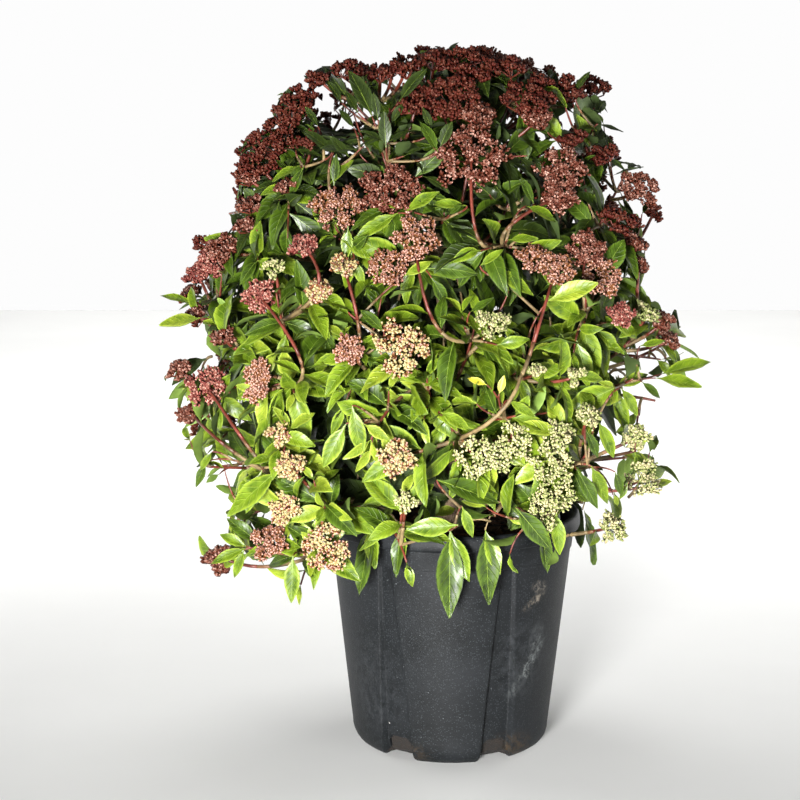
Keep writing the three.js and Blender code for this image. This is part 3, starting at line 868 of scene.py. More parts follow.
def trunk_radius(t, angle):
    """The trunk's radius with its root flare and bark."""
    length = TOP_HEART[2] - FOOT[2]
    flare = np.exp(-((t * length / FLARE_HEIGHT) ** 2))
    ribs = 1 + 0.3 * np.sin(5 * angle + 1)
    plain = lerp(TRUNK_RADIUS, STEM_TIP_RADIUS, t**0.7) + TRUNK_FLARE * flare * ribs
    return plain * bark_relief(t, angle, length)


BOUGH_LENGTH = 260


def bough_radius(t, angle):
    """A bough's radius with its bark."""
    return lerp(BOUGH_RADIUS, STEM_TIP_RADIUS, t) * bark_relief(t, angle, BOUGH_LENGTH)


# %% The bark of the trunk and the boughs
trunk_parts = tube(TRUNK_CURVE, trunk_radius, sides=32, steps=130)
make_piece("trunk_bark", *trunk_parts, [bark], "bark", ["trunk"])
bough_parts = [tube(mass["curve"], bough_radius, sides=14, steps=44) for mass in masses[:-1]]
make_piece("bough_bark", *join(bough_parts), [bark], "bark", bough_nodes)

# %% [markdown]
# ## Shoots
# A shoot leaves its mass's stem and ends on the crown's outline. The first hundred are the
# solid's own, drawn from the same seeds. The real shrub has far more, so finer side shoots
# follow: each aims at its own spot a little under the outline and leaves the nearest shoot of
# the same mass.

# %% The crown's outline
# Half its width and depth, how far it reaches above and below its middle, how much lower it
# hangs on the left, how much it narrows to its top, and how square its two halves are.
CROWN = {"half_width": 308, "half_depth": 285, "above": 360, "below": 262, "droop": 0.13}
CROWN |= {"taper": 0.35, "square_above": 5, "square_below": 3.4}


def crown_measure(offset):
    """How near places come to the crown's outline: 0 at its middle, 1 on the outline."""
    x, y, z = np.moveaxis(np.asarray(offset, dtype=float), -1, 0)
    above = z > 0
    power = np.where(above, CROWN["square_above"], CROWN["square_below"])
    height = np.abs(z) / np.where(above, CROWN["above"], CROWN["below"] - CROWN["droop"] * x)
    narrow = np.where(above, 1 - CROWN["taper"] * height, 1)
    level = np.hypot(x / CROWN["half_width"], y / CROWN["half_depth"]) / np.maximum(narrow, 0.1)
    return (level**power + height**power) ** (1 / power)


# The reach is found by halving the span that holds it, far below a thousandth of a millimetre.
HALVINGS = 24


def crown_reach(way):
    """How far the outline lies from the crown's middle, in a direction."""
    near, far = 0.0, float(CROWN["half_width"] + CROWN["above"])
    for _ in range(HALVINGS):
        middle = (near + far) / 2
        if crown_measure(way * middle) < 1:
            near = middle
        else:
            far = middle
    return near


print("the crown reaches", round(crown_reach(UP)), "mm above its middle")

# %% Directions and bends of shoots
LOWEST_RISE = -0.79
TOP_DENSITY = 1.2
GOLDEN_ANGLE = math.radians(137.508)
FULL_TURN = 2 * math.pi
TWIG_BEND = 0.45
TWIG_OUT = 0.27
LATE_CLIMB = 0.12
LATE_DROP = 0.4


def outward(k, count, first_turn, density=TOP_DENSITY):
    """Directions spread evenly over the crown, closer towards its top."""
    rise = lerp(1, LOWEST_RISE, ((k + 0.5) / count) ** density)
    level = math.sqrt(1 - rise * rise)
    turn = first_turn + k * GOLDEN_ANGLE
    return np.array([level * math.cos(turn), level * math.sin(turn), rise])


def bent_way(root, tip):
    """A twig's curve: out first, then up towards the light."""
    way = tip - root
    bend = root + way * TWIG_BEND
    bend[:2] += way[:2] * TWIG_OUT
    bend[2] += -way[2] * (LATE_CLIMB if way[2] > 0 else LATE_DROP)
    return np.array([root, bend, tip])


def mass_of(place):
    """The mass in whose space a place lies."""
    return int(np.argmax(depth_in_spaces(place)))


def on_limb(index, share):
    """A place on the stem of a mass, at a share of the stretch that its shoots leave from."""
    return on_curve(masses[index]["curve"], lerp(masses[index]["start"], 1, share))


# %% Heads by the part of the crown
def head_rule(tip):
    """The share of bare shoots and the heads' radii, by where a shoot ends."""
    x, _, z = tip
    # The crown's top has a head on nearly every shoot.
    if z > 620:
        return 0.06, (32, 46)
    # Its left side, its upper half, its lower right and its lower left.
    if x < -150 and z > 330:
        return 0.62, (30, 42)
    if z > 450:
        return 0.8, (28, 44)
    if x > 60:
        return 0.6, (28, 42)
    if x < -80 and z < 330:
        return 0.6, (26, 38)
    # The middle is mostly leaves.
    return 0.88, (22, 34)


def head_axis(shoot):
    """Where a shoot's head faces: on along the twig, outwards and up."""
    return unit(way_of(shoot["curve"], 1.0) * 0.6 + shoot["out"] * 0.4 + UP * 0.3)


print("a shoot at the top is bare with a chance of", head_rule(TOP_HEART)[0])

# %% The solid's shoots
SHOOTS = 102
SHOOT_SEEDS = (4100, 7919)
HEAD_SEEDS = (50000, 101)
FIRST_TURN = math.radians(212)
SHOOT_REACH = (0.94, 1)
SOLID_HEAD_RADII = (36, 50)
HEAD_MARGIN = 21
HEAD_DOME = 0.3
ROOT_SHARES = (0.25, 0.95)
# A tip too near the next mass is pulled towards its own heart, at most so often.
PULLS = 12
PULL_SHARE = 0.06
# A main shoot carries a head more often than a side shoot, and a larger one.
MAIN_BARE = 0.6
MAIN_LARGER = 4
# Finer shoots leave a main one between these shares of its way.
CARRIER_SHARES = (0.25, 0.8)
# A twig's radii at its start and at its tip.
MAIN_RADII = (2.9, 2.0)


def plan_shoot(k):
    """Shoot k: its mass, its outward direction, its curve and its head's size."""
    draw = stream(SHOOT_SEEDS, k)
    out = outward(k, SHOOTS, FIRST_TURN)
    reach = crown_reach(out) * draw(*SHOOT_REACH)
    size = draw(*SOLID_HEAD_RADII)
    tip = CROWN_MIDDLE + out * (reach - size * HEAD_DOME)
    index = mass_of(tip)
    for _ in range(PULLS):
        if depth_in_spaces(tip)[index] >= HEAD_MARGIN:
            break
        tip = lerp(tip, hearts[index], PULL_SHARE)
    root = on_limb(index, draw(*ROOT_SHARES))
    shoot = {"mass": index, "out": out, "curve": bent_way(root, tip), "radii": MAIN_RADII}
    shoot |= {"spin": draw(0, FULL_TURN), "draw": stream(HEAD_SEEDS, k)}
    shoot |= {"axis": head_axis(shoot), "seen": False, "least": CARRIER_SHARES[1]}
    bare, radii = head_rule(tip)
    shoot["size"] = min(size, shoot["draw"](*radii) + MAIN_LARGER)
    shoot["bare"] = shoot["draw"]() < bare * MAIN_BARE
    return shoot


shoots = [plan_shoot(k) for k in range(SHOOTS)]
print(SHOOTS, "shoots, lowest tip at", round(min(s["curve"][2][2] for s in shoots)), "mm")

# %% Finer side shoots
SIDE_SHOOTS = 310
SIDE_SEEDS = (70000, 613)
SIDE_DENSITY = 1.45
SIDE_TURN = math.radians(65)
SIDE_RADII = (2.0, 1.3)
# How far a side shoot reaches to the outline, near the crown's top and lower down.
HIGH_RISE = 0.4
HIGH_REACH = (0.9, 0.97)
LOW_REACH = (0.8, 0.96)
SIDE_MORE_BARE = 0.12
CARRIER_PLACES = 8


def carrier_places(shoot):
    """The places on a main shoot that finer twigs may leave from."""
    return on_curve(shoot["curve"], np.linspace(*CARRIER_SHARES, CARRIER_PLACES))


def plan_side_shoot(k):
    """A finer shoot that leaves the nearest main shoot of its mass."""
    draw = stream(SIDE_SEEDS, k)
    out = outward(k, SIDE_SHOOTS, SIDE_TURN, SIDE_DENSITY)
    reach = draw(*(HIGH_REACH if out[2] > HIGH_RISE else LOW_REACH))
    tip = CROWN_MIDDLE + out * crown_reach(out) * reach
    index = mass_of(tip)
    parents = [shoot for shoot in shoots if shoot["mass"] == index]
    places = np.concatenate([carrier_places(parent) for parent in parents])
    root = places[np.linalg.norm(places - tip, axis=-1).argmin()]
    shoot = {"out": out, "curve": bent_way(root, tip), "radii": SIDE_RADII, "draw": draw}
    shoot |= {"spin": draw(0, FULL_TURN), "axis": head_axis(shoot), "seen": False}
    bare, radii = head_rule(tip)
    shoot["size"] = draw(*radii)
    shoot["bare"] = draw() < lerp(bare, 1, SIDE_MORE_BARE)
    return shoot


side_shoots = [plan_side_shoot(k) for k in range(SIDE_SHOOTS)]
print(len(side_shoots), "side shoots,", sum(not s["bare"] for s in side_shoots), "with a head")

# %% [markdown]
# ## The heads that the photograph shows
# The largest heads of the crown's front have their own places, sizes and tints. Each is given
# by its pixel in the photograph, and its place in space is where the camera's ray through that
# pixel enters the crown. A twig carries it there from the nearest limb or shoot, so it is
# rooted whichever side it is seen from. A few long stems show below their heads, so those
# heads also name a pixel that their stem passes, and one woody branch is laid through three
# pixels. Small gaps where the sky shows are kept free in the same way, and so are the bites
# that the sky takes out of the crown's outline. Where the photograph looks onto soil, rim or
# stem, only the leaves in front of it are left out.

# %% From a pixel to a place on the crown
PITCH_DOWN = math.pi / 2 - CAMERA_PITCH
FRAME_MIDDLE = FRAME_PIXELS / 2
TO_VIEWER = np.array([0.0, -1.0, 0.0])
# A ray is followed between these distances from the camera, in steps, up to where it enters the
# crown. A place is then kept this share of the way to the outline.
RAY_SPAN = (1700, 2800)
RAY_STEP = 4.0
ENTERED = 0.98
KEPT_WITHIN = 0.985


def photo_pixels(places):
    """The photograph's pixels, across and down, where places in millimetres fall."""
    offset = np.asarray(places) * MM - CAMERA_PLACE
    depth = offset[..., 1] * math.cos(PITCH_DOWN) - offset[..., 2] * math.sin(PITCH_DOWN)
    rise = offset[..., 1] * math.sin(PITCH_DOWN) + offset[..., 2] * math.cos(PITCH_DOWN)
    across = FRAME_MIDDLE + FOCAL_PIXELS * offset[..., 0] / depth
    return np.stack([across, FRAME_MIDDLE - FOCAL_PIXELS * rise / depth], -1)


def crown_place(across, down):
    """Where the ray through a pixel meets the crown, and the outward direction there."""
    right, up = (across - FRAME_MIDDLE) / FOCAL_PIXELS, (FRAME_MIDDLE - down) / FOCAL_PIXELS
    cosine, sine = math.cos(PITCH_DOWN), math.sin(PITCH_DOWN)
    way = unit(np.array([right, cosine + up * sine, up * cosine - sine]))
    points = np.array(CAMERA_PLACE) / MM + way * np.arange(*RAY_SPAN, RAY_STEP)[:, None]
    measure = crown_measure(points - CROWN_MIDDLE)
    inside = np.nonzero(measure < ENTERED)[0]
    offset = points[inside[0] if len(inside) else measure.argmin()] - CROWN_MIDDLE
    out = unit(offset)
    reach = min(np.linalg.norm(offset), crown_reach(out) * KEPT_WITHIN)
    return CROWN_MIDDLE + out * reach, out


print("the camera sees the crown's heart at", photo_pixels(CROWN_MIDDLE).round())

# %% The heads of the front
# Each head's pixel, its radius in millimetres, how much it faces the viewer and not the sky, its
# tint, and for a long stem a pixel that the stem passes.
Seen = namedtuple("Seen", "across down radius facing tint by", defaults=[None])
SEEN_HEADS = [Seen(*row) for row in [
    (304, 88, 17, 0.2, "wine"), (318, 76, 15, 0.2, "wine"), (350, 68, 22, 0.2, "wine"),
    (380, 70, 18, 0.15, "wine"), (406, 65, 20, 0.15, "wine"), (433, 56, 22, 0.2, "wine"),
    (474, 58, 38, 0.3, "wine"), (512, 64, 20, 0.2, "wine"), (417, 98, 26, 0.4, "wine"),
    (454, 94, 38, 0.5, "wine"), (478, 111, 22, 0.2, "rosewood"), (528, 97, 32, 0.4, "wine"),
    (540, 79, 14, 0.2, "wine"), (566, 86, 24, 0.3, "wine"), (593, 84, 24, 0.3, "wine"),
    (536, 118, 17, 0.4, "rosewood"), (571, 137, 17, 0.2, "wine"), (604, 152, 20, 0.3, "wine"),
    (293, 108, 27, 0.5, "wine"), (274, 137, 31, 0.5, "wine"), (258, 160, 26, 0.4, "wine"),
    (247, 175, 18, 0.3, "rosewood"), (312, 137, 14, 0.3, "wine"), (286, 184, 14, 0.3, "rosewood"),
    (248, 203, 18, 0.3, "rosewood"), (248, 224, 16, 0.3, "rosewood"), (204, 240, 17, 0.4, "wine"),
    (224, 246, 22, 0.4, "rosewood"), (213, 257, 24, 0.6, "rose"), (197, 272, 17, 0.4, "rose"),
    (189, 292, 17, 0.3, "rosewood"), (195, 312, 10, 0.3, "rosewood"),
    (303, 244, 17, 0.4, "rose", (318, 288)), (389, 186, 36, 0.55, "rosewood"),
    (337, 203, 33, 0.5, "salmon"), (415, 238, 28, 0.75, "salmon", (434, 322)),
    (387, 267, 24, 0.6, "salmon"), (343, 265, 15, 0.4, "cream", (358, 322)),
    (318, 290, 15, 0.5, "cream"), (259, 296, 19, 0.9, "rose", (300, 358)),
    (274, 267, 14, 0.4, "green_cream"), (472, 154, 42, 0.85, "rosewood", (476, 232)),
    (562, 168, 30, 0.75, "rosewood"), (558, 196, 22, 0.7, "rosewood", (512, 224)),
    (640, 186, 27, 0.6, "rosewood"), (664, 205, 11, 0.3, "wine"), (621, 216, 26, 0.3, "wine"),
    (637, 241, 18, 0.3, "rosewood"), (640, 263, 11, 0.3, "rosewood"),
    (587, 247, 23, 0.6, "rosewood"), (535, 256, 20, 0.5, "salmon"),
    (556, 268, 20, 0.6, "salmon", (533, 345)), (603, 276, 25, 0.85, "salmon"),
    (621, 314, 15, 0.6, "rose"), (648, 310, 18, 0.2, "green_cream"),
    (664, 320, 11, 0.3, "rosewood"), (668, 337, 15, 0.3, "rosewood"),
    (493, 321, 19, 0.35, "green_cream"), (222, 336, 14, 0.3, "rosewood"),
    (257, 373, 16, 0.8, "salmon"), (255, 392, 13, 0.7, "salmon"), (178, 368, 15, 0.4, "rosewood"),
    (205, 385, 26, 0.6, "rose", (245, 442)), (190, 412, 18, 0.4, "rosewood", (226, 446)),
    (349, 350, 18, 0.6, "salmon"), (400, 348, 32, 0.95, "cream"), (396, 458, 21, 0.7, "cream"),
    (279, 434, 14, 0.4, "cream"), (290, 466, 18, 0.5, "cream"), (283, 508, 20, 0.6, "cream"),
    (268, 540, 22, 0.4, "salmon"), (325, 547, 30, 0.7, "cream"), (217, 553, 20, 0.2, "rosewood"),
    (405, 502, 12, 0.5, "green_cream"), (476, 457, 24, 0.7, "green_cream"),
    (498, 458, 16, 0.6, "green_cream"), (515, 440, 20, 0.7, "green_cream"),
    (562, 432, 16, 0.6, "green_cream"), (550, 460, 27, 0.8, "green_cream"),
    (557, 490, 24, 0.8, "green_cream"), (543, 512, 22, 0.7, "green_cream"),
    (575, 376, 10, 0.4, "green_cream"), (536, 371, 9, 0.3, "green_cream"),
    (588, 416, 15, 0.4, "green_cream"), (636, 438, 16, 0.6, "green_cream"),
    (645, 478, 22, 0.6, "green_cream"), (613, 526, 19, 0.5, "green_cream"),
    (214, 572, 9, 0.3, "rosewood"), (393, 68, 12, 0.2, "wine"), (386, 205, 11, 0.4, "wine"),
]]

# %% What can carry a twig
LIMB_SHARES = (0.35, 1)
LIMB_PLACES = 14
# A twig grows upwards, so a place that isn't this much lower than its tip counts as further away.
LOWER_BY = 10
HIGHER_COST = 1.5
limb_places = [on_curve(mass["curve"], np.linspace(*LIMB_SHARES, LIMB_PLACES)) for mass in masses]
carriers = np.concatenate(limb_places + [carrier_places(shoot) for shoot in shoots])


def nearest_carrier(tip, least):
    """The nearest place that can carry a twig to a tip, and at least so far from it."""
    apart = np.linalg.norm(carriers - tip, axis=-1)
    cost = apart + HIGHER_COST * np.maximum(carriers[:, 2] - tip[2] + LOWER_BY, 0)
    return carriers[np.where(apart < least, np.inf, cost).argmin()]


def through(root, place, tip):
    """A curve from a root to a tip that passes a place half way."""
    return np.array([root, 2 * place - (root + tip) / 2, tip])


print(len(carriers), "places on limbs and shoots can carry a twig")


# %% The woody branch and the heads' twigs
# A woody branch that shows in the crown's middle: its start, a place on its way and its end.
BRANCH_PIXELS = [(458, 436), (498, 415), (522, 374)]
branch_start, branch_way, branch_end = (crown_place(*pixel)[0] for pixel in BRANCH_PIXELS)
branch_root = nearest_carrier(branch_start, 10)
woody_branch = {"radii": (2.5, 1.9), "curve": through(branch_root, branch_way, branch_end)}
carriers = np.append(carriers, [branch_end], axis=0)

SEEN_SEEDS = (200000, 419)
SEEN_RADII = (2.5, 1.6)
LEAST_STEM = 30
LEAST_TWIG = 48


def plan_seen_head(k, seen):
    """A shoot that carries one of the photograph's heads."""
    draw = stream(SEEN_SEEDS, k)
    place, out = crown_place(seen.across, seen.down)
    axis = unit(TO_VIEWER * seen.facing + UP * (1 - seen.facing) + out * 0.3)
    tip = place - axis * seen.radius * HEAD_DOME * 0.5
    if seen.by:
        by = crown_place(*seen.by)[0]
        curve = through(nearest_carrier(by, LEAST_STEM), by, tip)
    else:
        # The twig leaves towards its tip and ends along the head's axis.
        root = nearest_carrier(tip, LEAST_TWIG)
        length = np.linalg.norm(tip - root)
        curve = np.array([root, (lerp(root, tip, 0.4) + tip - axis * length * 0.55) / 2, tip])
    shoot = {"out": out, "size": seen.radius, "curve": curve, "radii": SEEN_RADII}
    shoot |= {"axis": axis, "tint": seen.tint, "bare": False, "seen": True, "draw": draw}
    return shoot | {"spin": draw(0, FULL_TURN)}


seen_shoots = [plan_seen_head(k, seen) for k, seen in enumerate(SEEN_HEADS)]
bare_stems = [shoot for shoot, seen in zip(seen_shoots, SEEN_HEADS) if seen.by]
print(len(seen_shoots), "heads placed as the photograph shows them,", len(bare_stems), "by a stem")

# %% Gaps where the sky shows
# A gap's middle and radius are pixels. It keeps free what lies in front of its back, a place
# along y in millimetres, and a gap to the sky has its back behind the whole plant.
BEHIND_ALL = 1000
Gap = namedtuple("Gap", "across down radius back", defaults=[BEHIND_ALL])
SKY_GAPS = [Gap(*row) for row in [
    (326, 103, 9), (337, 123, 7), (360, 114, 6), (350, 84, 5), (343, 69, 4), (378, 66, 3),
    (386, 92, 6), (397, 76, 4), (422, 80, 4), (503, 52, 3), (509, 119, 4), (512, 102, 3),
    (568, 123, 7), (573, 101, 4), (650, 222, 7), (558, 147, 4), (305, 86, 5), (320, 89, 5),
    (617, 372, 8), (604, 432, 5), (611, 456, 11), (594, 488, 8), (592, 520, 6), (192, 338, 12),
    (214, 505, 14), (232, 472, 7), (205, 290, 4), (282, 72, 12), (308, 58, 11), (348, 47, 8),
    (388, 40, 14), (545, 50, 16), (568, 64, 8), (628, 104, 16), (631, 145, 12), (612, 180, 7),
    (604, 196, 5), (636, 205, 4), (214, 200, 22), (228, 182, 8), (238, 112, 18), (222, 150, 12),
    (242, 98, 14), (678, 408, 26), (654, 400, 10), (676, 452, 16), (672, 286, 11), (692, 318, 12),
    (176, 468, 16), (190, 480, 10), (195, 352, 5), (625, 452, 7), (628, 500, 6), (655, 505, 9),
    (178, 345, 6), (660, 250, 12), (652, 284, 8), (664, 296, 5), (642, 350, 5), (650, 388, 8),
    (524, 53, 6), (538, 64, 5), (572, 548, 6), (566, 532, 4), (620, 452, 5), (222, 540, 6),
    (650, 356, 9), (630, 398, 8), (648, 418, 8), (209, 358, 8), (226, 214, 8), (262, 100, 10),
    (246, 128, 8), (250, 577, 12), (268, 586, 8), (576, 505, 4), (222, 222, 7), (230, 209, 6),
    (618, 196, 7), (405, 46, 10), (330, 56, 7), (372, 55, 5), (581, 537, 6), (594, 557, 7),
    (636, 486, 5),
]]
# Where the photograph looks past the leaves, onto the soil, the lip and the bare stems.
CLEARINGS = [Gap(*row) for row in [
    (403, 504, 11, 0), (420, 502, 8, 0), (495, 519, 13, 0), (398, 546, 12, 0), (463, 545, 10, 0),
    (520, 540, 12, 0), (545, 543, 11, 0), (378, 552, 8, 0), (572, 520, 10), (430, 552, 7, 0),
]]
STEM_CLEARING = 5
STEM_SHARES = np.linspace(0.35, 0.9, 14)
BEHIND_STEM = 25
for shoot in [*bare_stems, woody_branch]:
    for across, down in photo_pixels(on_curve(shoot["curve"], STEM_SHARES)):
        CLEARINGS.append(Gap(across, down, STEM_CLEARING, shoot["curve"][2][1] + BEHIND_STEM))


def in_sky_gap(places, margin=0, gaps=SKY_GAPS):
    """For each place, whether it falls in one of the photograph's gaps."""
    pixels = photo_pixels(places)[..., None, :]
    gaps = np.array(gaps, dtype=float)
    near = np.linalg.norm(pixels - gaps[:, :2], axis=-1) < gaps[:, 2] + margin
    return (near & (np.asarray(places)[..., None, 1] < gaps[:, 3])).any(-1)


print(len(SKY_GAPS), "gaps to the sky and", len(CLEARINGS), "clearings")

# %% Keep the other heads off them
# In front of this place along y, only the heads that the photograph shows grow.
FRONT_ENDS_AT = 10
HEAD_SPACING = 0.8
HEAD_GAP_MARGIN = 8
for shoot in shoots + side_shoots:
    tip = shoot["curve"][2]
    near = any(
        np.linalg.norm(tip - seen["curve"][2]) < HEAD_SPACING * (shoot["size"] + seen["size"])
        for seen in seen_shoots
    )
    if near or tip[1] < FRONT_ENDS_AT or in_sky_gap(tip, HEAD_GAP_MARGIN):
        shoot["bare"] = True
all_shoots = shoots + side_shoots + seen_shoots
print(len(all_shoots), "shoots in all,", sum(not s["bare"] for s in all_shoots), "with a head")

# %% [markdown]
# ## Twigs
# A young laurustinus twig is red and smooth, and turns brown and then tan once its bark forms.
# All are thin cylinders with a faint grain, so each shoot is three tubes in a row: a tan one, a
# short brown one and a red one that runs to its tip. Under a cream or salmon head the last
# stretch is a green flower stalk instead.

# %% Twig skins
# Old bark is dry and dull, and the young skin is smooth and shines a little. A twig's own grain
# is too fine to show, so it is drawn about as coarse as the twig is thick.
tan_twig, tan_shader = start_material("tan twig bark", "#6f5c3c", 0.6, 1.5)
mottle(tan_twig, tan_shader, "#826e48", "#4a3c24", 16, 1.8, 0.3, (0.5, 0.7))
brown_twig, brown_shader = start_material("brown ripening twig", "#62422a", 0.5, 1.5)
mottle(brown_twig, brown_shader, "#6f4c2e", "#472c1a", 14, 1.8, 0.25, (0.45, 0.6))
red_twig, red_shader = start_material("red young twig", "#5f2a1a", 0.45, 1.48)
mottle(red_twig, red_shader, "#6e3022", "#421b10", 16, 2.0, 0.2, (0.38, 0.52))
green_stalk, green_shader = start_material("green flower stalk", "#757e3c", 0.5, 1.46)
mottle(green_stalk, green_shader, "#828a4a", "#677135", 8, 1.5, 0.1, (0.45, 0.55))
print("twig skins:", [skin.name for skin in (tan_twig, brown_twig, red_twig, green_stalk)])

# %% One stretch of a twig
TWIG_SIDES = 6
# A shoot without a head tapers to half the tip that a head needs.
BARE_TIP = 0.5


def twig_parts(shoot, start, end, steps):
    """One stretch of a shoot's twig."""
    thick, thin = shoot["radii"]
    thin = thin * (BARE_TIP if shoot.get("bare") else 1)

    def radius_at(t, angle):
        # Adding nothing for each angle gives the result its second axis.
        return lerp(thick, thin, t) + 0 * angle

    return tube(shoot["curve"], radius_at, TWIG_SIDES, steps, start, end)


# %% [markdown]
# ## Heads of flower buds
# A head is a flat-topped spray: five to nine rays leave the twig's tip, each forks again, and
# each fork ends in a tuft of buds the size of small beads. The rays end on a shallow, uneven dome,
# which is the dome of the solid's head. The heads are laid out first, because leaves keep a
# little below them. A head that would cross the crown's outline or hang over the pot's rim is
# left out, and its shoot ends in young leaves.

# %% Room to grow
RIM_CLEARANCE = 4
# Below this height and within this radius is only what may hang over the pot.
SKIRT_HEIGHT = 283
SKIRT_RADIUS = 235
LEAF_LIMIT = 1.01
HEAD_LIMIT = 1.045


def has_room(places, hangs, limit):
    """True if places keep inside the crown's outline, clear of the pot and off its rim."""
    if (crown_measure(places - CROWN_MIDDLE) > limit).any():
        return False
    radius, height = np.hypot(places[:, 0], places[:, 1]), places[:, 2]
    if not hangs and ((height < SKIRT_HEIGHT) & (radius < SKIRT_RADIUS)).any():
        return False
    return not ((height < POT_HEIGHT + RIM_CLEARANCE) & (radius < RIM_RADIUS + RIM_CLEARANCE)).any()


# %% The kinds of heads
HEAD_DEPTH = 0.62
# The tint that some of its buds have, its stalk's colour, the buds of a tuft, their width and how
# uneven the head's face is, both in millimetres.
HeadKind = namedtuple("HeadKind", "other stalk bud_count bud_width unevenness")
HEAD_KINDS = {
    "wine": HeadKind("rosewood", "red", 5, 3.5, 5.5),
    "rosewood": HeadKind("tan_rose", "red", 7, 3.4, 4.2),
    "rose": HeadKind("pink", "red", 7, 3.4, 3.8),
    "salmon": HeadKind("tan_rose", "green", 7, 3.4, 4.2),
    "cream": HeadKind("salmon", "green", 7, 3.5, 5.0),
    "green_cream": HeadKind("ivory", "green", 5, 3.1, 7.0),
}


def head_tint(tip, chance):
    """A head's main tint: wine at the top, redder on the left, greener on the lower right."""
    x, _, z = tip
    if z > 640:
        return "wine" if chance < 0.7 else "rosewood"
    if x < -150 and z > 330:
        return "rose" if chance < 0.5 else "rosewood"
    if z > 500:
        return "rosewood" if chance < 0.6 else "salmon"
    if x > 60 and z < 430:
        return "green_cream"
    if z > 400:
        return "salmon" if chance < 0.6 else "rosewood"
    return "salmon" if chance < 0.4 else "cream"


def head_counts(radius, seen):
    """How many rays a head has and how many tufts a ray. Heads placed by a pixel have more."""
    rays = 7 if radius > (14 if seen else 24) else 5
    if seen and radius > 34:
        rays += 2
    return rays, max(4, round(radius / (4.0 if seen else 5.6)))


print("rays and tufts by radius:", {radius: head_counts(radius, True) for radius in (10, 40)})

# %% Lay out the heads
RAY_RADIUS = 1.05
FORK_RADIUS = 0.7
# A head's outline is lobed. Its forks lie this share of its radius below its dome.
LOBE_DEPTH = 0.14
FORK_DROP = 0.34
# As shares of the radius, how far forks lie from the middle and tufts from their fork. Every
# third tuft stands close to it.
FORK_REACH = (0.58, 0.68)
TUFT_REACH = (0.16, 0.25)
NEAR_TUFT_REACH = (0.02, 0.1)
# In millimetres, how deep a tuft's stalks end, how far its buds spread and how uneven they are.
TUFT_DEPTH = (4, 7)
BUD_REACH = (2.8, 4.6)
MIDDLE_BUD_REACH = (1.0, 2.0)
BUD_SHIFT = (-2.2, 1.2)


def grow_head(shoot):
    """The forks and buds of a head: where its rays run, and where its buds sit."""
    draw, radius = shoot["draw"], shoot["size"]
    tip, axis = shoot["curve"][2], shoot["axis"]
    level, steep = square_to(unit(axis + [0.01, 0.02, 0]))
    apex = tip - axis * radius * HEAD_DEPTH
    head = {"rays": [], "bases": [], "buds": []}
    ray_count, fork_count = head_counts(radius, shoot["seen"])
    kind = HEAD_KINDS[shoot["tint"]]
    lobes, phase = round(draw(3, 5)), draw(0, 6.3)

    def place(rho, turn, height):
        rho = rho * (1 + LOBE_DEPTH * math.sin(lobes * turn + phase))
        return tip + (level * math.cos(turn) + steep * math.sin(turn)) * rho + axis * height

    def dome(rho):
        return radius * HEAD_DOME * (1 - (rho / radius) ** 2)

    for ray in range(ray_count):
        rho = 0 if ray == 0 else radius * draw(*FORK_REACH)
        turn = ray * 2 * math.pi / (ray_count - 1) + draw(-0.15, 0.15)
        fork = place(rho, turn, dome(rho) - radius * FORK_DROP)
        head["rays"].append((apex, fork, RAY_RADIUS))
        centre = (rho * math.cos(turn), rho * math.sin(turn))
        lift = draw(-1, 1) * kind.unevenness
        for k in range(fork_count):
            swing = k * 2 * math.pi / fork_count + draw(-0.3, 0.3) + ray
            step = radius * draw(*(TUFT_REACH if k % 3 else NEAR_TUFT_REACH))
            x, y = centre[0] + step * math.cos(swing), centre[1] + step * math.sin(swing)
            out = math.hypot(x, y)
            rise = dome(out) + lift - radius * 0.07 * (step / radius / 0.2) ** 2
            tuft = place(out, math.atan2(y, x), rise - draw(*TUFT_DEPTH))
            head["rays"].append((fork, tuft, FORK_RADIUS))
            for bud in range(kind.bud_count):
                swing = bud * 2 * math.pi / kind.bud_count + draw(-0.5, 0.5)
                reach = draw(*(BUD_REACH if bud else MIDDLE_BUD_REACH))
                bud_x, bud_y = x + reach * math.cos(swing), y + reach * math.sin(swing)
                far = min(math.hypot(bud_x, bud_y), radius)
                seat = place(far, math.atan2(bud_y, bud_x), rise + draw(*BUD_SHIFT))
                head["bases"].append(tuft)
                head["buds"].append(seat)
    return head


# Every seventh bud is enough to tell whether a head has room.
BUD_STRIDE = 7
heads = []
for shoot in all_shoots:
    if shoot["bare"]:
        continue
    if "tint" not in shoot:
        shoot["tint"] = head_tint(shoot["curve"][2], shoot["draw"]())
    head = grow_head(shoot)
    if shoot["seen"] or has_room(np.array(head["buds"])[::BUD_STRIDE], False, HEAD_LIMIT):
        heads.append((shoot, head))
    else:
        shoot["bare"] = True
print(len(heads), "heads")

head_tips = np.array([shoot["curve"][2] for shoot, _ in heads])
head_axes = np.array([shoot["axis"] for shoot, _ in heads])
head_radii = np.array([shoot["size"] for shoot, _ in heads])


# Leaves keep off the space over a head's face, this far up and this share of its radius wide.
FACE_CLEAR = 60
FACE_FROM = -0.1
FACE_SHARE = 0.85


def covers_head(places):
    """True if one of the places lies over a head's face."""
    offset = places[:, None] - head_tips
    over = (offset * head_axes).sum(-1)
    aside = np.linalg.norm(offset - over[..., None] * head_axes, axis=-1)
    above = (over > FACE_FROM * head_radii) & (over < FACE_CLEAR)
    return (above & (aside < FACE_SHARE * head_radii)).any()
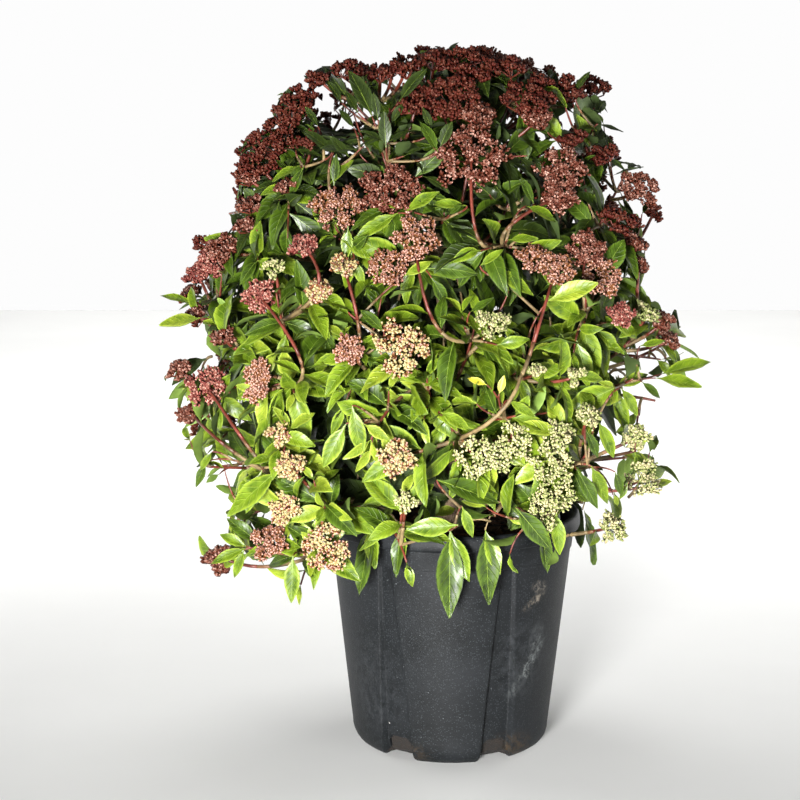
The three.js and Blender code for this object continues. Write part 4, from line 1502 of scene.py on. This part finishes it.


# %% [markdown]
# ## Leaves: a glossy cuticle
# A laurustinus leaf is 50 to 90 mm long, oval with a drawn-out point, folded a little along
# its pale midrib. Its upper side shines because of a waxy cuticle, and its underside is paler
# and dull. Side veins show as shallow furrows, a little paler than the blade. Its edge is paler
# too: partly a pale margin, partly a painted highlight along the rim. They follow the blade's
# own coordinates, one along it and one across, so every leaf has them in the right place.

# %% Leaf skins
VEINS = 7
VEIN_SWEEP = 1.5
VEIN_PALENESS = 0.35
# The edge is paler partly as the leaf's pale margin and partly as a painted highlight along it.
EDGE_PALENESS_AND_HIGHLIGHT = 0.62


def add_side_veins(material, bump):
    """Shallow furrows that sweep from the midrib to the tip, and where the blade is pale: at
    the veins, and at the edge, partly as a painted highlight.
    """
    blade = add_node(material, "UVMap", uv_map="blade")
    axes = add_node(material, "SeparateXYZ", links={"Vector": blade.outputs["UV"]})
    across = add_node(material, "Math", links={0: axes.outputs["Y"]}, operation="ABSOLUTE")
    swept = add_node(
        material, "Math", {1: -VEIN_SWEEP, 2: 0.0}, {0: across.outputs[0]}, operation="MULTIPLY_ADD"
    )
    phase = add_node(
        material, "Math", {1: float(VEINS)}, {0: axes.outputs["X"], 2: swept.outputs[0]},
        operation="MULTIPLY_ADD",
    )
    wave = add_node(material, "Math", {1: 0.5}, {0: phase.outputs[0]}, operation="PINGPONG")
    furrow = add_node(
        material, "MapRange", {"From Min": 0.0, "From Max": 0.12, "To Min": 0.0, "To Max": 1.0},
        {"Value": wave.outputs[0]}, interpolation_type="SMOOTHSTEP",
    )
    veins = add_node(
        material, "Bump", {"Strength": 0.8, "Distance": 0.6 * MM},
        {"Height": furrow.outputs["Result"], "Normal": bump.outputs["Normal"]},
    )
    pale = add_node(
        material, "Math", {1: -VEIN_PALENESS, 2: VEIN_PALENESS}, {0: furrow.outputs["Result"]},
        operation="MULTIPLY_ADD",
    )
    edge = add_node(
        material, "MapRange",
        {"From Min": 0.55, "From Max": 1.0, "To Min": 0.0, "To Max": EDGE_PALENESS_AND_HIGHLIGHT},
        {"Value": across.outputs[0]}, interpolation_type="SMOOTHSTEP",
    )
    paler = add_node(
        material, "Math", links={0: pale.outputs[0], 1: edge.outputs["Result"]}, operation="MAXIMUM"
    )
    return veins.outputs["Normal"], paler.outputs[0]


# The wax gives each leaf a soft highlight where it turns to the light.
WAX = {"Coat_Weight": 0.09, "Coat_Roughness": 0.22, "Specular_IOR_Level": 0.3}


def leaf_skin(name, light, dark, vein, roughness):
    """A leaf's upper skin: two greens and paler veins under a clear waxy coat."""
    material, shader = start_material(name, light, roughness, 1.45, **WAX)
    rough = (roughness - 0.06, roughness + 0.08)
    _, ramp, bump = mottle(material, shader, light, dark, 14, 2.6, 0.16, rough)
    normal, pale = add_side_veins(material, bump)
    colour = layer_over(material, ramp.outputs["Color"], vein, pale)
    material.node_tree.links.new(colour, shader.inputs["Base Color"])
    material.node_tree.links.new(normal, shader.inputs["Normal"])
    return material


# Bright and deep are partly the young and old leaves' own greens and partly painted light and
# shade, dealt out by height below. The shaded skin is painted shade only: a darker copy of the leaf
# green for leaves at the crown's top and inside.
leaf_skins = {
    "bright": leaf_skin("glossy cuticle, bright young leaf", "#7c8a22", "#4f6410", "#a6b245", 0.46),
    "green": leaf_skin("glossy cuticle, grown leaf", "#607612", "#354b08", "#8b9c2e", 0.45),
    "deep": leaf_skin("glossy cuticle, deep green leaf", "#394f09", "#1c2b04", "#566d1a", 0.46),
    "yellow": leaf_skin("glossy cuticle, fading leaf", "#b5a62a", "#948620", "#c9bd5c", 0.42),
    "shaded": leaf_skin("dulled cuticle, leaf in painted shade", "#273508", "#182305", "#384819", 0.5),
}

# %% Midribs and undersides
# A midrib is smooth and pale. An underside has no wax, so it is dull from all sides.
midrib_skin, midrib_shader = start_material("pale leaf midrib", "#6b7f2c", 0.5, 1.45)
mottle(midrib_skin, midrib_shader, "#73872f", "#5f7226", 8, 2, 0.1, (0.4, 0.5))
underside, underside_shader = start_material("dull leaf underside", "#677f33", 0.62, 1.45)
mottle(underside, underside_shader, "#70883a", "#576d2a", 18, 2, 0.15, (0.55, 0.7))
# The shaded underside is painted shade: a darker copy of the underside for deep and shaded leaves.
shaded_underside, shaded_shader = start_material("dull underside in painted shade", "#33421a", 0.65, 1.45)
mottle(shaded_underside, shaded_shader, "#3a4a1e", "#293614", 18, 2, 0.15, (0.6, 0.75))
print(len(leaf_skins), "upper skins, 1 midrib and 2 undersides")

# %% [markdown]
# All leaves share one small grid. Its rows run along the blade and its columns across, and
# each leaf bends, folds and twists that grid in its own way. The upper side has five columns,
# the underside three, and a narrow strip is laid along the upper side as the midrib.

# %% The leaf's grid
# Rows are shares of the blade's length, from the end of its stalk, and columns shares of its
# half-width. A coarse leaf has no midrib.
FINE = {"along": [-0.1, 0.03, 0.14, 0.28, 0.44, 0.6, 0.76, 0.9, 0.985]}
FINE |= {"upper": [-1, -0.52, 0, 0.52, 1], "rib": [-1, 1]}
COARSE = {"along": [-0.1, 0.03, 0.25, 0.5, 0.78, 0.985], "upper": [-1, 0, 1], "rib": []}


def half_width(u):
    """The blade's half-width along its length: a thin stalk, a wide middle, a drawn-out tip."""
    inside = np.clip(u, 0, 1)
    return np.maximum(np.sin(math.pi * inside**0.9) ** 0.85 * (1 - 0.3 * inside**3), 0.045)


def leaf_grid(shape):
    """Shares along and across the blade, height above it, and its triangles by skin."""
    sheets, triangles, skin = [], [], []
    count = 0
    sheet_rows = [(shape["upper"], 0), (shape["rib"], 0.3), ([1.06, 0, -1.06], -0.4)]
    for which, (columns, lift) in enumerate(sheet_rows):
        if not columns:
            continue
        u, v = np.meshgrid(shape["along"], columns, indexing="ij")
        if which == 1:
            v = v * lerp(0.032, 0.012, np.clip(u, 0, 1)) / half_width(u)
        sheets.append(np.stack([u.ravel(), v.ravel(), np.full(u.size, lift)], 1))
        faces = grid_triangles(len(shape["along"]), len(columns), closed=False)
        triangles.append(faces + count)
        skin.append(np.full(len(faces), which))
        count += u.size
    return np.concatenate(sheets), np.concatenate(triangles), np.concatenate(skin)


fine_leaf, coarse_leaf = leaf_grid(FINE), leaf_grid(COARSE)
print("a leaf has", len(fine_leaf[1]), "triangles, an inner one", len(coarse_leaf[1]))


def shape_leaves(leaves, shares):
    """Bends the grid for each leaf: along its way, folded, arched, wavy and twisted."""

    def column(name):
        return np.array([leaf[name] for leaf in leaves])[:, None]

    root, way, face = column("root"), column("way"), column("face")
    across = np.cross(face, way)
    length, width = column("length")[..., None], column("width")[..., None]
    u, v, lift = (shares[None, :, k, None] for k in range(3))
    inside = np.maximum(u, 0)
    side = v * half_width(u) * width / 2
    fold = np.abs(side) * column("fold")[..., None]
    bulge = (1 - np.abs(v)) * np.abs(v) * half_width(u) * width * 0.14
    edge = np.abs(v) ** 2 * width * column("wavy")[..., None] * np.minimum(inside * 6, 1)
    wave = np.sin(u * 11 + 1.5 * v + column("phase")[..., None]) * edge
    twist = side * column("twist")[..., None] * u
    arch = -column("arch")[..., None] * length * inside**2.1
    sag = column("sag")[..., None] * length * inside**1.7
    rise = fold + bulge + wave + twist + arch + lift * np.minimum(1, half_width(u) * 3)
    along = length * (u + 0.1) * (1 - 0.35 * column("arch")[..., None] * inside)
    return root + way * along + across * side + face * rise - UP * sag


# %% [markdown]
# Leaves grow in pairs, and each pair stands square to the last. A leaf leaves the twig at an
# angle, its upper face turned to the tip and the light, and hangs more the lower it grows.
# One that would cross the crown's outline or touch the pot is made smaller or left out.

# %% How a leaf bends and faces
def leaf_form(draw, **spans):
    """How a leaf is bent, each measure drawn from its span in turn."""
    return {measure: draw(*span) for measure, span in spans.items()}


def square_face(way, light):
    """The direction square to a leaf's way that turns most to the light."""
    return unit(light - way * (light @ way))


print("a leaf's fold:", leaf_form(seeded(1), fold=(0.15, 0.6)))

# %% Grow one leaf
LEAF_ASPECT = (0.33, 0.43)
HANGING_SHARE = 0.12
LEAF_GAP_MARGIN = 4
# The sizes that are tried until a leaf has room.
SMALLER = (1, 0.85, 0.7)


def grow_leaf(root, stem, side, out, draw, size):
    """One leaf that grows from a node, or nothing where it has no room."""
    way = unit(stem * draw(0.35, 0.8) + side * 0.85 - UP * draw(-0.1, 0.25))
    face = square_face(way, stem * 0.8 + out * 0.45 + UP * 0.3)
    leaf = {"root": root, "way": way, "face": face}
    leaf |= leaf_form(draw, fold=(0.15, 0.6), phase=(0, 6.3), wavy=(0.01, 0.07))
    leaf |= leaf_form(draw, twist=(-0.6, 0.6), arch=(0.04, 0.42), sag=(0.0, 0.2))
    aspect = draw(*LEAF_ASPECT)
    hangs = draw() < HANGING_SHARE
    for shrink in SMALLER:
        length = size * shrink
        leaf["length"], leaf["width"] = length, length * aspect
        shares = np.array([[0.5], [0.25], [0.75], [1.0]])
        line = root + way * length * (shares + 0.1) * (1 - 0.35 * leaf["arch"] * shares)
        line = line - UP * leaf["sag"] * length * shares**1.7
        line = line - face * leaf["arch"] * length * shares**2.1
        edges = np.cross(face, way) * leaf["width"] / 2
        places = np.concatenate([line, line[:1] + edges, line[:1] - edges])
        hides = covers_head(places) or in_sky_gap(places, LEAF_GAP_MARGIN).any()
        hides = hides or in_sky_gap(places, 0, CLEARINGS).any()
        if has_room(places, hangs, LEAF_LIMIT) and not hides:
            return leaf
    return None


# %% Grow leaves in pairs
NODE_SPACING = 12.5
LEAF_LENGTH = (42, 67)


def curve_length(curve):
    """The length of a curve."""
    steps = np.diff(on_curve(curve, np.linspace(0, 1, 12)), axis=0)
    return np.linalg.norm(steps, axis=1).sum()


def grow_leaves(shoot, first, last, spacing):
    """The leaves of a shoot, in pairs between two shares of its way, each with its share."""
    draw, curve = shoot["draw"], shoot["curve"]
    pairs = max(2, round(curve_length(curve) * (last - first) / spacing))
    grown = []
    shoot["end"] = shoot.get("least", 0)
    for k in range(pairs):
        t = lerp(first, last, k / (pairs - 1))
        stem = way_of(curve, t)
        level, steep = square_to(stem)
        turn = shoot["spin"] + k * math.pi / 2 + draw(-0.3, 0.3)
        size = draw(*LEAF_LENGTH) * lerp(1.05, 0.85, t)
        # The last pair of a shoot without a head is small and still closes round the tip.
        tip_pair = k == pairs - 1 and last > 0.95
        if tip_pair:
            size *= 0.6
        for sign in (1, -1):
            side = sign * (level * math.cos(turn) + steep * math.sin(turn))
            side = side * (0.4 if tip_pair else 1)
            leaf = grow_leaf(on_curve(curve, t), stem, side, shoot["out"], draw, size)
            if leaf is not None:
                grown.append((t, leaf))
                shoot["end"] = t
    return grown


# %% Leaves of all shoots
def leaf_tint(leaf, t, draw):
    """A leaf's tint. Old leaves are deep and young tips bright, their own greens. Bright
    leaves are commoner lower down and rarer on the right, and deep and shaded ones commoner
    towards the crown's top: painted light and shade.
    """
    x, _, z = leaf["root"]
    young = 0.7 * (t - 0.6)
    bright = min(max((540 - z) / 420, 0), 0.33) + (young if z < 540 else 0)
    bright -= 0.15 if x > 90 else 0
    deep = min(max((z - 455) / 190, 0.1), 0.96) - (young if z < 560 else 0)
    chance = draw()
    if chance < 0.008 and z < 480:
        return "yellow"
    if chance > 1.3 - z / 1000 and z > 600:
        return "shaded"
    return "bright" if chance < bright else ("deep" if chance > 1 - deep else "green")


# The share of a shoot's way at which its leaves end: below a head, and lower on the crown's top,
# where long stalks show.
LEAVES_END = {"bare": 0.99, "head": 0.93, "top head": 0.84}
STALKY_FROM = 560
leaves = {tint: [] for tint in leaf_skins}
for number, shoot in enumerate(all_shoots):
    headed = "top head" if shoot["curve"][2][2] > STALKY_FROM else "head"
    last = LEAVES_END["bare" if shoot["bare"] else headed]
    for t, leaf in grow_leaves(shoot, 0.3 if number < SHOOTS else 0.2, last, NODE_SPACING):
        leaves[leaf_tint(leaf, t, shoot["draw"])].append(leaf)
print({tint: len(grown) for tint, grown in leaves.items()}, "leaves")

# %% [markdown]
# Some leaves stand out in the photograph: at the outline's edge, or pale against the dark.
# Each is given by the pixels of its base and its tip. A thin twig carries it from the nearest
# limb or shoot, or from the twig of a leaf placed before it, so that they branch.

# %% The leaves that stand out
# The pixels of a leaf's base and tip, how much it faces the viewer and not the sky, its tint.
SeenLeaf = namedtuple("SeenLeaf", "across down to_across to_down facing tint")
SEEN_LEAVES = [SeenLeaf(*row) for row in [
    (598, 124, 622, 131, 0.3, "shaded"), (662, 374, 707, 360, 0.3, "green"),
    (656, 378, 700, 384, 0.4, "green"), (202, 318, 160, 322, 0.4, "bright"),
    (194, 304, 162, 293, 0.3, "green"), (293, 556, 291, 602, 0.6, "green"),
    (548, 301, 594, 283, 0.6, "bright"), (493, 268, 532, 293, 0.6, "green"),
    (574, 92, 588, 72, 0.3, "shaded"), (372, 116, 352, 72, 0.35, "shaded"),
    (399, 102, 423, 68, 0.35, "shaded"), (342, 103, 328, 82, 0.35, "shaded"),
    (358, 113, 346, 92, 0.35, "shaded"), (378, 120, 374, 94, 0.35, "shaded"),
    (391, 124, 402, 104, 0.35, "shaded"), (432, 132, 424, 108, 0.35, "shaded"),
    (300, 166, 272, 178, 0.4, "green"), (304, 166, 290, 196, 0.4, "deep"),
    (334, 186, 336, 156, 0.35, "deep"), (330, 184, 352, 160, 0.35, "green"),
    (332, 152, 306, 130, 0.35, "shaded"), (334, 152, 360, 138, 0.35, "shaded"),
    (318, 126, 306, 108, 0.35, "shaded"), (350, 158, 332, 138, 0.35, "shaded"),
    (296, 150, 322, 156, 0.35, "shaded"), (364, 146, 384, 132, 0.35, "shaded"),
    (352, 406, 362, 456, 0.7, "green"), (346, 424, 322, 468, 0.7, "green"),
    (364, 424, 388, 440, 0.6, "bright"), (577, 470, 598, 508, 0.5, "deep"),
    (591, 466, 609, 504, 0.5, "green"), (615, 472, 623, 496, 0.5, "deep"),
    (598, 421, 616, 458, 0.5, "green"), (621, 388, 640, 415, 0.5, "green"),
    (642, 382, 660, 398, 0.5, "deep"), (354, 128, 340, 110, 0.35, "shaded"),
    (516, 508, 550, 548, 0.6, "deep"), (556, 512, 561, 556, 0.6, "green"),
    (586, 430, 600, 458, 0.5, "deep"), (246, 546, 220, 534, 0.5, "green"),
    (262, 470, 246, 512, 0.6, "green"), (278, 470, 228, 514, 0.5, "green"),
    (384, 332, 362, 310, 0.4, "deep"), (348, 312, 372, 326, 0.4, "deep"),
    (487, 385, 468, 378, 0.6, "yellow"), (499, 394, 504, 376, 0.6, "yellow"),
    (470, 312, 492, 298, 0.4, "deep"), (458, 525, 408, 529, 0.7, "green"),
    (462, 506, 473, 538, 0.6, "green"), (437, 480, 500, 503, 0.5, "deep"),
    (440, 412, 470, 428, 0.5, "green"), (508, 400, 534, 416, 0.6, "green"),
    (386, 148, 384, 114, 0.4, "shaded"), (388, 142, 410, 130, 0.35, "shaded"),
    (384, 142, 362, 130, 0.35, "shaded"), (438, 152, 422, 122, 0.4, "deep"),
    (440, 148, 450, 122, 0.4, "shaded"), (404, 156, 422, 148, 0.4, "shaded"),
    (358, 150, 322, 147, 0.35, "shaded"), (467, 206, 433, 203, 0.6, "green"),
    (405, 212, 436, 191, 0.5, "green"), (404, 209, 380, 198, 0.5, "green"),
    (398, 213, 358, 237, 0.6, "green"), (348, 226, 346, 258, 0.5, "green"),
    (341, 240, 379, 257, 0.6, "green"), (480, 266, 502, 249, 0.5, "green"),
    (508, 240, 537, 237, 0.5, "green"), (526, 206, 557, 219, 0.4, "green"),
    (534, 204, 521, 178, 0.5, "deep"), (404, 276, 431, 262, 0.6, "bright"),
    (246, 548, 212, 562, 0.5, "green"), (244, 550, 233, 578, 0.5, "green"),
    (258, 542, 228, 518, 0.5, "deep"), (628, 484, 620, 500, 0.5, "green"),
    (206, 462, 196, 486, 0.5, "deep"), (212, 452, 200, 470, 0.5, "green"),
    (640, 346, 664, 340, 0.5, "green"),
]]


SEEN_LEAF_SEEDS = (240000, 307)
THIN_RADII = (1.8, 1.2)
LEAST_LEAF_TWIG = 20
BRANCHING_SHARES = np.array([0.5, 0.75])


def plan_seen_leaf(k, seen):
    """A leaf between two pixels, and the thin twig that carries it."""
    draw = stream(SEEN_LEAF_SEEDS, k)
    base, out = crown_place(seen.across, seen.down)
    away = (base[1] * MM - CAMERA_PLACE[1]) / FOCAL_PIXELS / MM
    across, rise = seen.to_across - seen.across, seen.down - seen.to_down
    span = np.array([across * away, draw(-0.15, 0.15) * away * abs(across), rise * away])
    way, length = unit(span), np.linalg.norm(span)
    light = unit(TO_VIEWER * seen.facing + UP * (1 - seen.facing) + out * 0.2)
    leaf = {"root": base, "way": way, "face": square_face(way, light)}
    leaf |= {"length": length, "width": length * draw(*LEAF_ASPECT), "sag": 0.0}
    leaf |= leaf_form(draw, fold=(0.15, 0.4), phase=(0, 6.3), wavy=(0.02, 0.05))
    leaf |= leaf_form(draw, twist=(-0.3, 0.3), arch=(0.0, 0.15))
    root = nearest_carrier(base, LEAST_LEAF_TWIG)
    bend = (lerp(root, base, 0.5) + base - way * np.linalg.norm(base - root) * 0.4) / 2
    curve = np.array([root, bend, base])
    return {"curve": curve, "radii": THIN_RADII, "end": 1.0, "bare": True}, leaf


leaf_twigs = []
for k, seen in enumerate(SEEN_LEAVES):
    shoot, leaf = plan_seen_leaf(k, seen)
    leaf_twigs.append(shoot)
    leaves[seen.tint].append(leaf)
    carriers = np.append(carriers, on_curve(shoot["curve"], BRANCHING_SHARES), axis=0)
print(len(leaf_twigs), "leaves placed as the photograph shows them")

# %% [markdown]
# A few low shoots lean over the pot's rim, and their leaves hang down in front of its wall.
# Each is given by its direction from the pot's axis and the length of its longest leaf.

# %% Leaves that hang over the rim
# Each shoot's direction in degrees, and the length of its longest leaf.
RIM_SHOOTS = [(-126, 72), (-112, 48), (-92, 86), (-78, 74), (-53, 50)]
RIM_SHOOTS += [(-20, 60), (28, 74), (70, 55), (116, 80), (158, 62)]
HANG_RADIUS = 158
RIM_SEEDS = (150000, 271)
RIM_RADII = (1.5, 0.8)
# The second leaf of a shoot is shorter, and leans aside.
HANGING_LENGTHS = (1, 0.62)


def plan_rim_shoot(degrees, k):
    """A thin shoot from the nearest limb to a place above the rim."""
    draw = stream(RIM_SEEDS, k)
    out = level_way(math.radians(degrees))
    tip = out * HANG_RADIUS + UP * (POT_HEIGHT + 10)
    root = nearest_carrier(tip + UP * 45, 30)
    middle = (root + tip) / 2 + UP * 14
    curve = np.array([root, middle, tip])
    return {"curve": curve, "out": out, "draw": draw, "radii": RIM_RADII}


rim_shoots = [plan_rim_shoot(turn, k) for k, (turn, _) in enumerate(RIM_SHOOTS)]
for shoot, (_, longest) in zip(rim_shoots, RIM_SHOOTS):
    draw, tip, out = shoot["draw"], shoot["curve"][2], shoot["out"]
    across = np.cross(UP, out)
    for k, share in enumerate(HANGING_LENGTHS):
        way = unit(across * (draw(0.15, 0.4) * k) + out * 0.2 - UP)
        leaf = {"root": tip + out * 1.5, "way": way, "face": square_face(way, out)}
        leaf |= {"length": longest * share, "sag": 0.0}
        leaf["width"] = leaf["length"] * draw(*LEAF_ASPECT)
        leaf |= leaf_form(draw, fold=(0.2, 0.5), phase=(0, 6.3), wavy=(0.03, 0.08))
        leaf |= leaf_form(draw, twist=(-0.5, 0.5), arch=(0.0, -0.08))
        leaves["deep" if k == 0 else "green"].append(leaf)
print(len(RIM_SHOOTS), "shoots hang over the rim")

# %% Make the leaf pieces
PIECE_LIMIT = 190000


def make_leaves(name, grown, shape, skins):
    """Makes the pieces that hold a list of leaves, each under the limit."""
    shares, triangles, which = shape
    batch_size = PIECE_LIMIT // len(triangles)
    for part, first in enumerate(range(0, len(grown), batch_size)):
        batch = grown[first : first + batch_size]
        points, faces = copies(shape_leaves(batch, shares), triangles)
        make_piece(
            f"{name}_{part + 1}", points, faces, skins, "foliage", foliage_nodes,
            which=np.tile(which, len(batch)), uv=np.tile(shares[:, :2], (len(batch), 1)),
        )


for tint, grown in leaves.items():
    # Deep and shaded leaves take the darker underside, painted shade.
    under = shaded_underside if tint in ("deep", "shaded") else underside
    make_leaves(f"leaves_{tint}", grown, fine_leaf, [leaf_skins[tint], midrib_skin, under])

# %% [markdown]
# The crown's inside is not hollow. Short shaded shoots fill it, with dark leaves that keep the
# sky from showing between the outer ones. Their dark is painted shade: they take the shaded
# skins. They are seen only through gaps, so they use a coarser grid.

# %% Inner shoots
INNER_SHOOTS = 230
INNER_SEEDS = (120000, 379)
INNER_TURN = math.radians(20)
INNER_SPACING = 17
# How far an inner shoot reaches to the outline, near the crown's top and lower down.
INNER_RISE = 0.5
INNER_REACH_HIGH = (0.45, 0.62)
INNER_REACH_LOW = (0.5, 0.74)


def plan_inner_shoot(k):
    """A shaded shoot that ends about two thirds of the way to the outline."""
    draw = stream(INNER_SEEDS, k)
    out = outward(k, INNER_SHOOTS, INNER_TURN)
    share = draw(*(INNER_REACH_HIGH if out[2] > INNER_RISE else INNER_REACH_LOW))
    tip = CROWN_MIDDLE + out * crown_reach(out) * share
    root = on_limb(mass_of(tip), draw(0.1, 0.9))
    shoot = {"out": out, "curve": bent_way(root, tip), "draw": draw, "radii": THIN_RADII}
    return shoot | {"spin": draw(0, FULL_TURN)}


inner_shoots = [plan_inner_shoot(k) for k in range(INNER_SHOOTS)]
inner_leaves = []
for shoot in inner_shoots:
    inner_leaves += [leaf for _, leaf in grow_leaves(shoot, 0.1, 1.0, INNER_SPACING)]
# The inner leaves' dark skins are painted shade.
shaded_skins = [leaf_skins["shaded"], midrib_skin, shaded_underside]
make_leaves("leaves_inner", inner_leaves, coarse_leaf, shaded_skins)
inner_twigs = join(
    [twig_parts(shoot, 0, 1, 6) for shoot in inner_shoots + rim_shoots + [woody_branch]]
)
make_piece("inner_twigs", *inner_twigs, [tan_twig], "foliage", foliage_nodes)

# %% The twigs of all shoots
BROWN_SHARE = 0.38
YOUNG_SHARE = 0.52
STALK_SHARE = 0.92
# One stretch runs on into the next by this share, so that no slit shows between them.
OVERLAP = 0.005


def make_twigs(name, found, start, end, steps, skin):
    """Makes one stretch of every twig that reaches it: to its head, or to its last leaves."""
    parts = []
    for shoot in found:
        stop = min(shoot["end"] if shoot["bare"] else 1.0, end)
        if stop > start:
            parts.append(twig_parts(shoot, start, stop, steps))
    make_piece(name, *join(parts), [skin], "foliage", foliage_nodes)


twigs = all_shoots + leaf_twigs
green_topped = [s for s in all_shoots if not s["bare"] and HEAD_KINDS[s["tint"]].stalk == "green"]
red_topped = [s for s in twigs if s["bare"] or HEAD_KINDS[s["tint"]].stalk == "red"]
make_twigs("old_twigs", twigs, 0, BROWN_SHARE + OVERLAP, 4, tan_twig)
make_twigs("brown_twigs", twigs, BROWN_SHARE, YOUNG_SHARE + OVERLAP, 2, brown_twig)
make_twigs("young_twigs", red_topped, YOUNG_SHARE, 1.0, 6, red_twig)
make_twigs("young_twigs_below", green_topped, YOUNG_SHARE, STALK_SHARE + OVERLAP, 4, red_twig)
make_twigs("green_stalks", green_topped, STALK_SHARE, 1.0, 2, green_stalk)

# %% [markdown]
# ## Buds
# Buds go from wine red to rose, salmon and cream, and each is paler at its tip, so a head
# looks speckled. The tints are plain skins dealt out by head and by bud, and the pale tip is a
# face of the bud with the next lighter skin.

# %% Bud skins
# A bud's skin is smooth under a thin bloom, which makes its highlight soft and weak.
def bud_skin(name, light, dark):
    """A bud's smooth waxy skin."""
    material, shader = start_material(name, light, 0.55, 1.42, Specular_IOR_Level=0.22)
    mottle(material, shader, light, dark, 6, 1.5, 0.1, (0.48, 0.62))
    return material


bud_skins = {
    "wine": bud_skin("waxy bud, wine red", "#4e1b11", "#360f08"),
    "rosewood": bud_skin("waxy bud, brown red", "#552617", "#3d180c"),
    "tan_rose": bud_skin("waxy bud, tan rose", "#774e40", "#5c372b"),
    "rose": bud_skin("waxy bud, rose", "#69302a", "#50201b"),
    "pink": bud_skin("waxy bud, pale pink", "#8f5c4f", "#734539"),
    "salmon": bud_skin("waxy bud, salmon", "#734728", "#56331b"),
    "blush": bud_skin("waxy bud tip, blush", "#b28e7f", "#957266"),
    "cream": bud_skin("waxy bud, cream", "#a08d60", "#7e6c43"),
    "green_cream": bud_skin("waxy bud, green cream", "#80864e", "#626a3a"),
    "ivory": bud_skin("waxy bud tip, ivory", "#b0a77f", "#99916a"),
}
TIP_SKIN = {"wine": "rosewood", "rosewood": "tan_rose", "tan_rose": "blush", "rose": "pink"}
TIP_SKIN |= {"pink": "blush", "salmon": "blush", "ivory": "ivory"}
TIP_SKIN |= {"cream": "ivory", "green_cream": "ivory"}
print(len(bud_skins), "bud skins")

# %% [markdown]
# A bud is a drop: it starts as a point where its stalk leaves the fork, swells and closes in
# a small pale face. Two rings of three points, turned against each other, are enough for a
# bead of under four millimetres.

# %% Shape the buds and rays
BUD_SIDES = 3
# A ring's width, how far it lies along the bud, and its turn in sides.
BUD_RINGS = [(1.12, 0.6, 0.0), (0.85, 0.97, 0.5)]
# Added to a way so that it is never quite vertical, because square_to needs one that isn't.
OFF_PLUMB = [0.001, 0.002, 0]


def shape_buds(bases, seats, sizes):
    """Drops that run from their base to their seat."""
    way = seats - bases
    length = np.linalg.norm(way, axis=1, keepdims=True)
    way = way / length
    half = (sizes / 2)[:, None, None]
    bead = length + sizes[:, None] * 0.5
    rows = [bases[:, None]]
    for wide, far, turn in BUD_RINGS:
        ring = ways_round(way + OFF_PLUMB, BUD_SIDES, turn)
        rows.append((bases + way * bead * far)[:, None] + ring * half * wide)
    return np.concatenate(rows, 1)


def bud_triangles():
    """A fan at the base, a band between the rings and the small face at the tip."""
    here = np.arange(BUD_SIDES)
    following = (here + 1) % BUD_SIDES
    low, high = 1, 1 + BUD_SIDES
    foot = np.stack([np.zeros(BUD_SIDES, int), low + following, low + here], 1)
    band = np.stack([low + here, low + following, high + here], 1)
    band_two = np.stack([low + following, high + following, high + here], 1)
    tip = np.array([[high, high + 1, high + 2]])
    return np.concatenate([foot, band, band_two, tip])


# %% Deal out the buds
# This share of a head's buds has the head's other tint.
MIXED_SHARE = 0.36
BUD_SIZES = (0.8, 1.15)
buds = {tint: {"base": [], "seat": [], "size": []} for tint in TIP_SKIN}
rays = {"red": [], "green": []}
for shoot, head in heads:
    main, draw = shoot["tint"], shoot["draw"]
    kind = HEAD_KINDS[main]
    open_sky = in_sky_gap(head["buds"])
    for base, seat, in_gap in zip(head["bases"], head["buds"], open_sky):
        tint = buds[kind.other if draw() < MIXED_SHARE else main]
        size = kind.bud_width * draw(*BUD_SIZES)
        if not in_gap:
            tint["base"].append(base)
            tint["seat"].append(seat)
            tint["size"].append(size)
    ends = in_sky_gap([ray[1] for ray in head["rays"]])
    rays[kind.stalk].extend(ray for ray, in_gap in zip(head["rays"], ends) if not in_gap)

ONE_BUD = bud_triangles()
for tint, grown in buds.items():
    drops = shape_buds(*(np.array(grown[key]) for key in ("base", "seat", "size")))
    points, faces = copies(drops, ONE_BUD)
    skins = [bud_skins[tint], bud_skins[TIP_SKIN[tint]]]
    which = np.tile(np.arange(len(ONE_BUD)) == len(ONE_BUD) - 1, len(drops))
    make_piece(f"buds_{tint}", points, faces, skins, "foliage", foliage_nodes, which=which)

# %% The rays of the heads
RAY_SIDES = 3
RAY_TAPER = 0.8


def shape_rays(found):
    """Three-sided rays from their starts to their ends."""
    start, end = np.array([r[0] for r in found]), np.array([r[1] for r in found])
    thick = np.array([r[2] for r in found])[:, None, None]
    ring = ways_round(unit(end - start) + OFF_PLUMB, RAY_SIDES)
    ends = start[:, None] + ring * thick, end[:, None] + ring * thick * RAY_TAPER
    return np.concatenate(ends, 1)


for colour, skin in (("red", red_twig), ("green", green_stalk)):
    points, faces = copies(shape_rays(rays[colour]), grid_triangles(2, RAY_SIDES))
    make_piece(f"rays_{colour}", points, faces, [skin], "foliage", foliage_nodes)

# %% [markdown]
# ## Measure and finish
# Both the solid model's box and the dressed plant's box are printed. The dressed plant has to
# keep within the solid model's box, give or take three in a hundred and a centimetre.

# %% Write the sizes and finish
dressed_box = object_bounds()
boxes = {"cad": cad_box, "dressed": dressed_box}
{name: [list(corner) for corner in box] for name, box in boxes.items()}
print("dressed box, metres:", [[round(v, 3) for v in corner] for corner in dressed_box])
print("triangles made:", sum(triangles_made.values()))
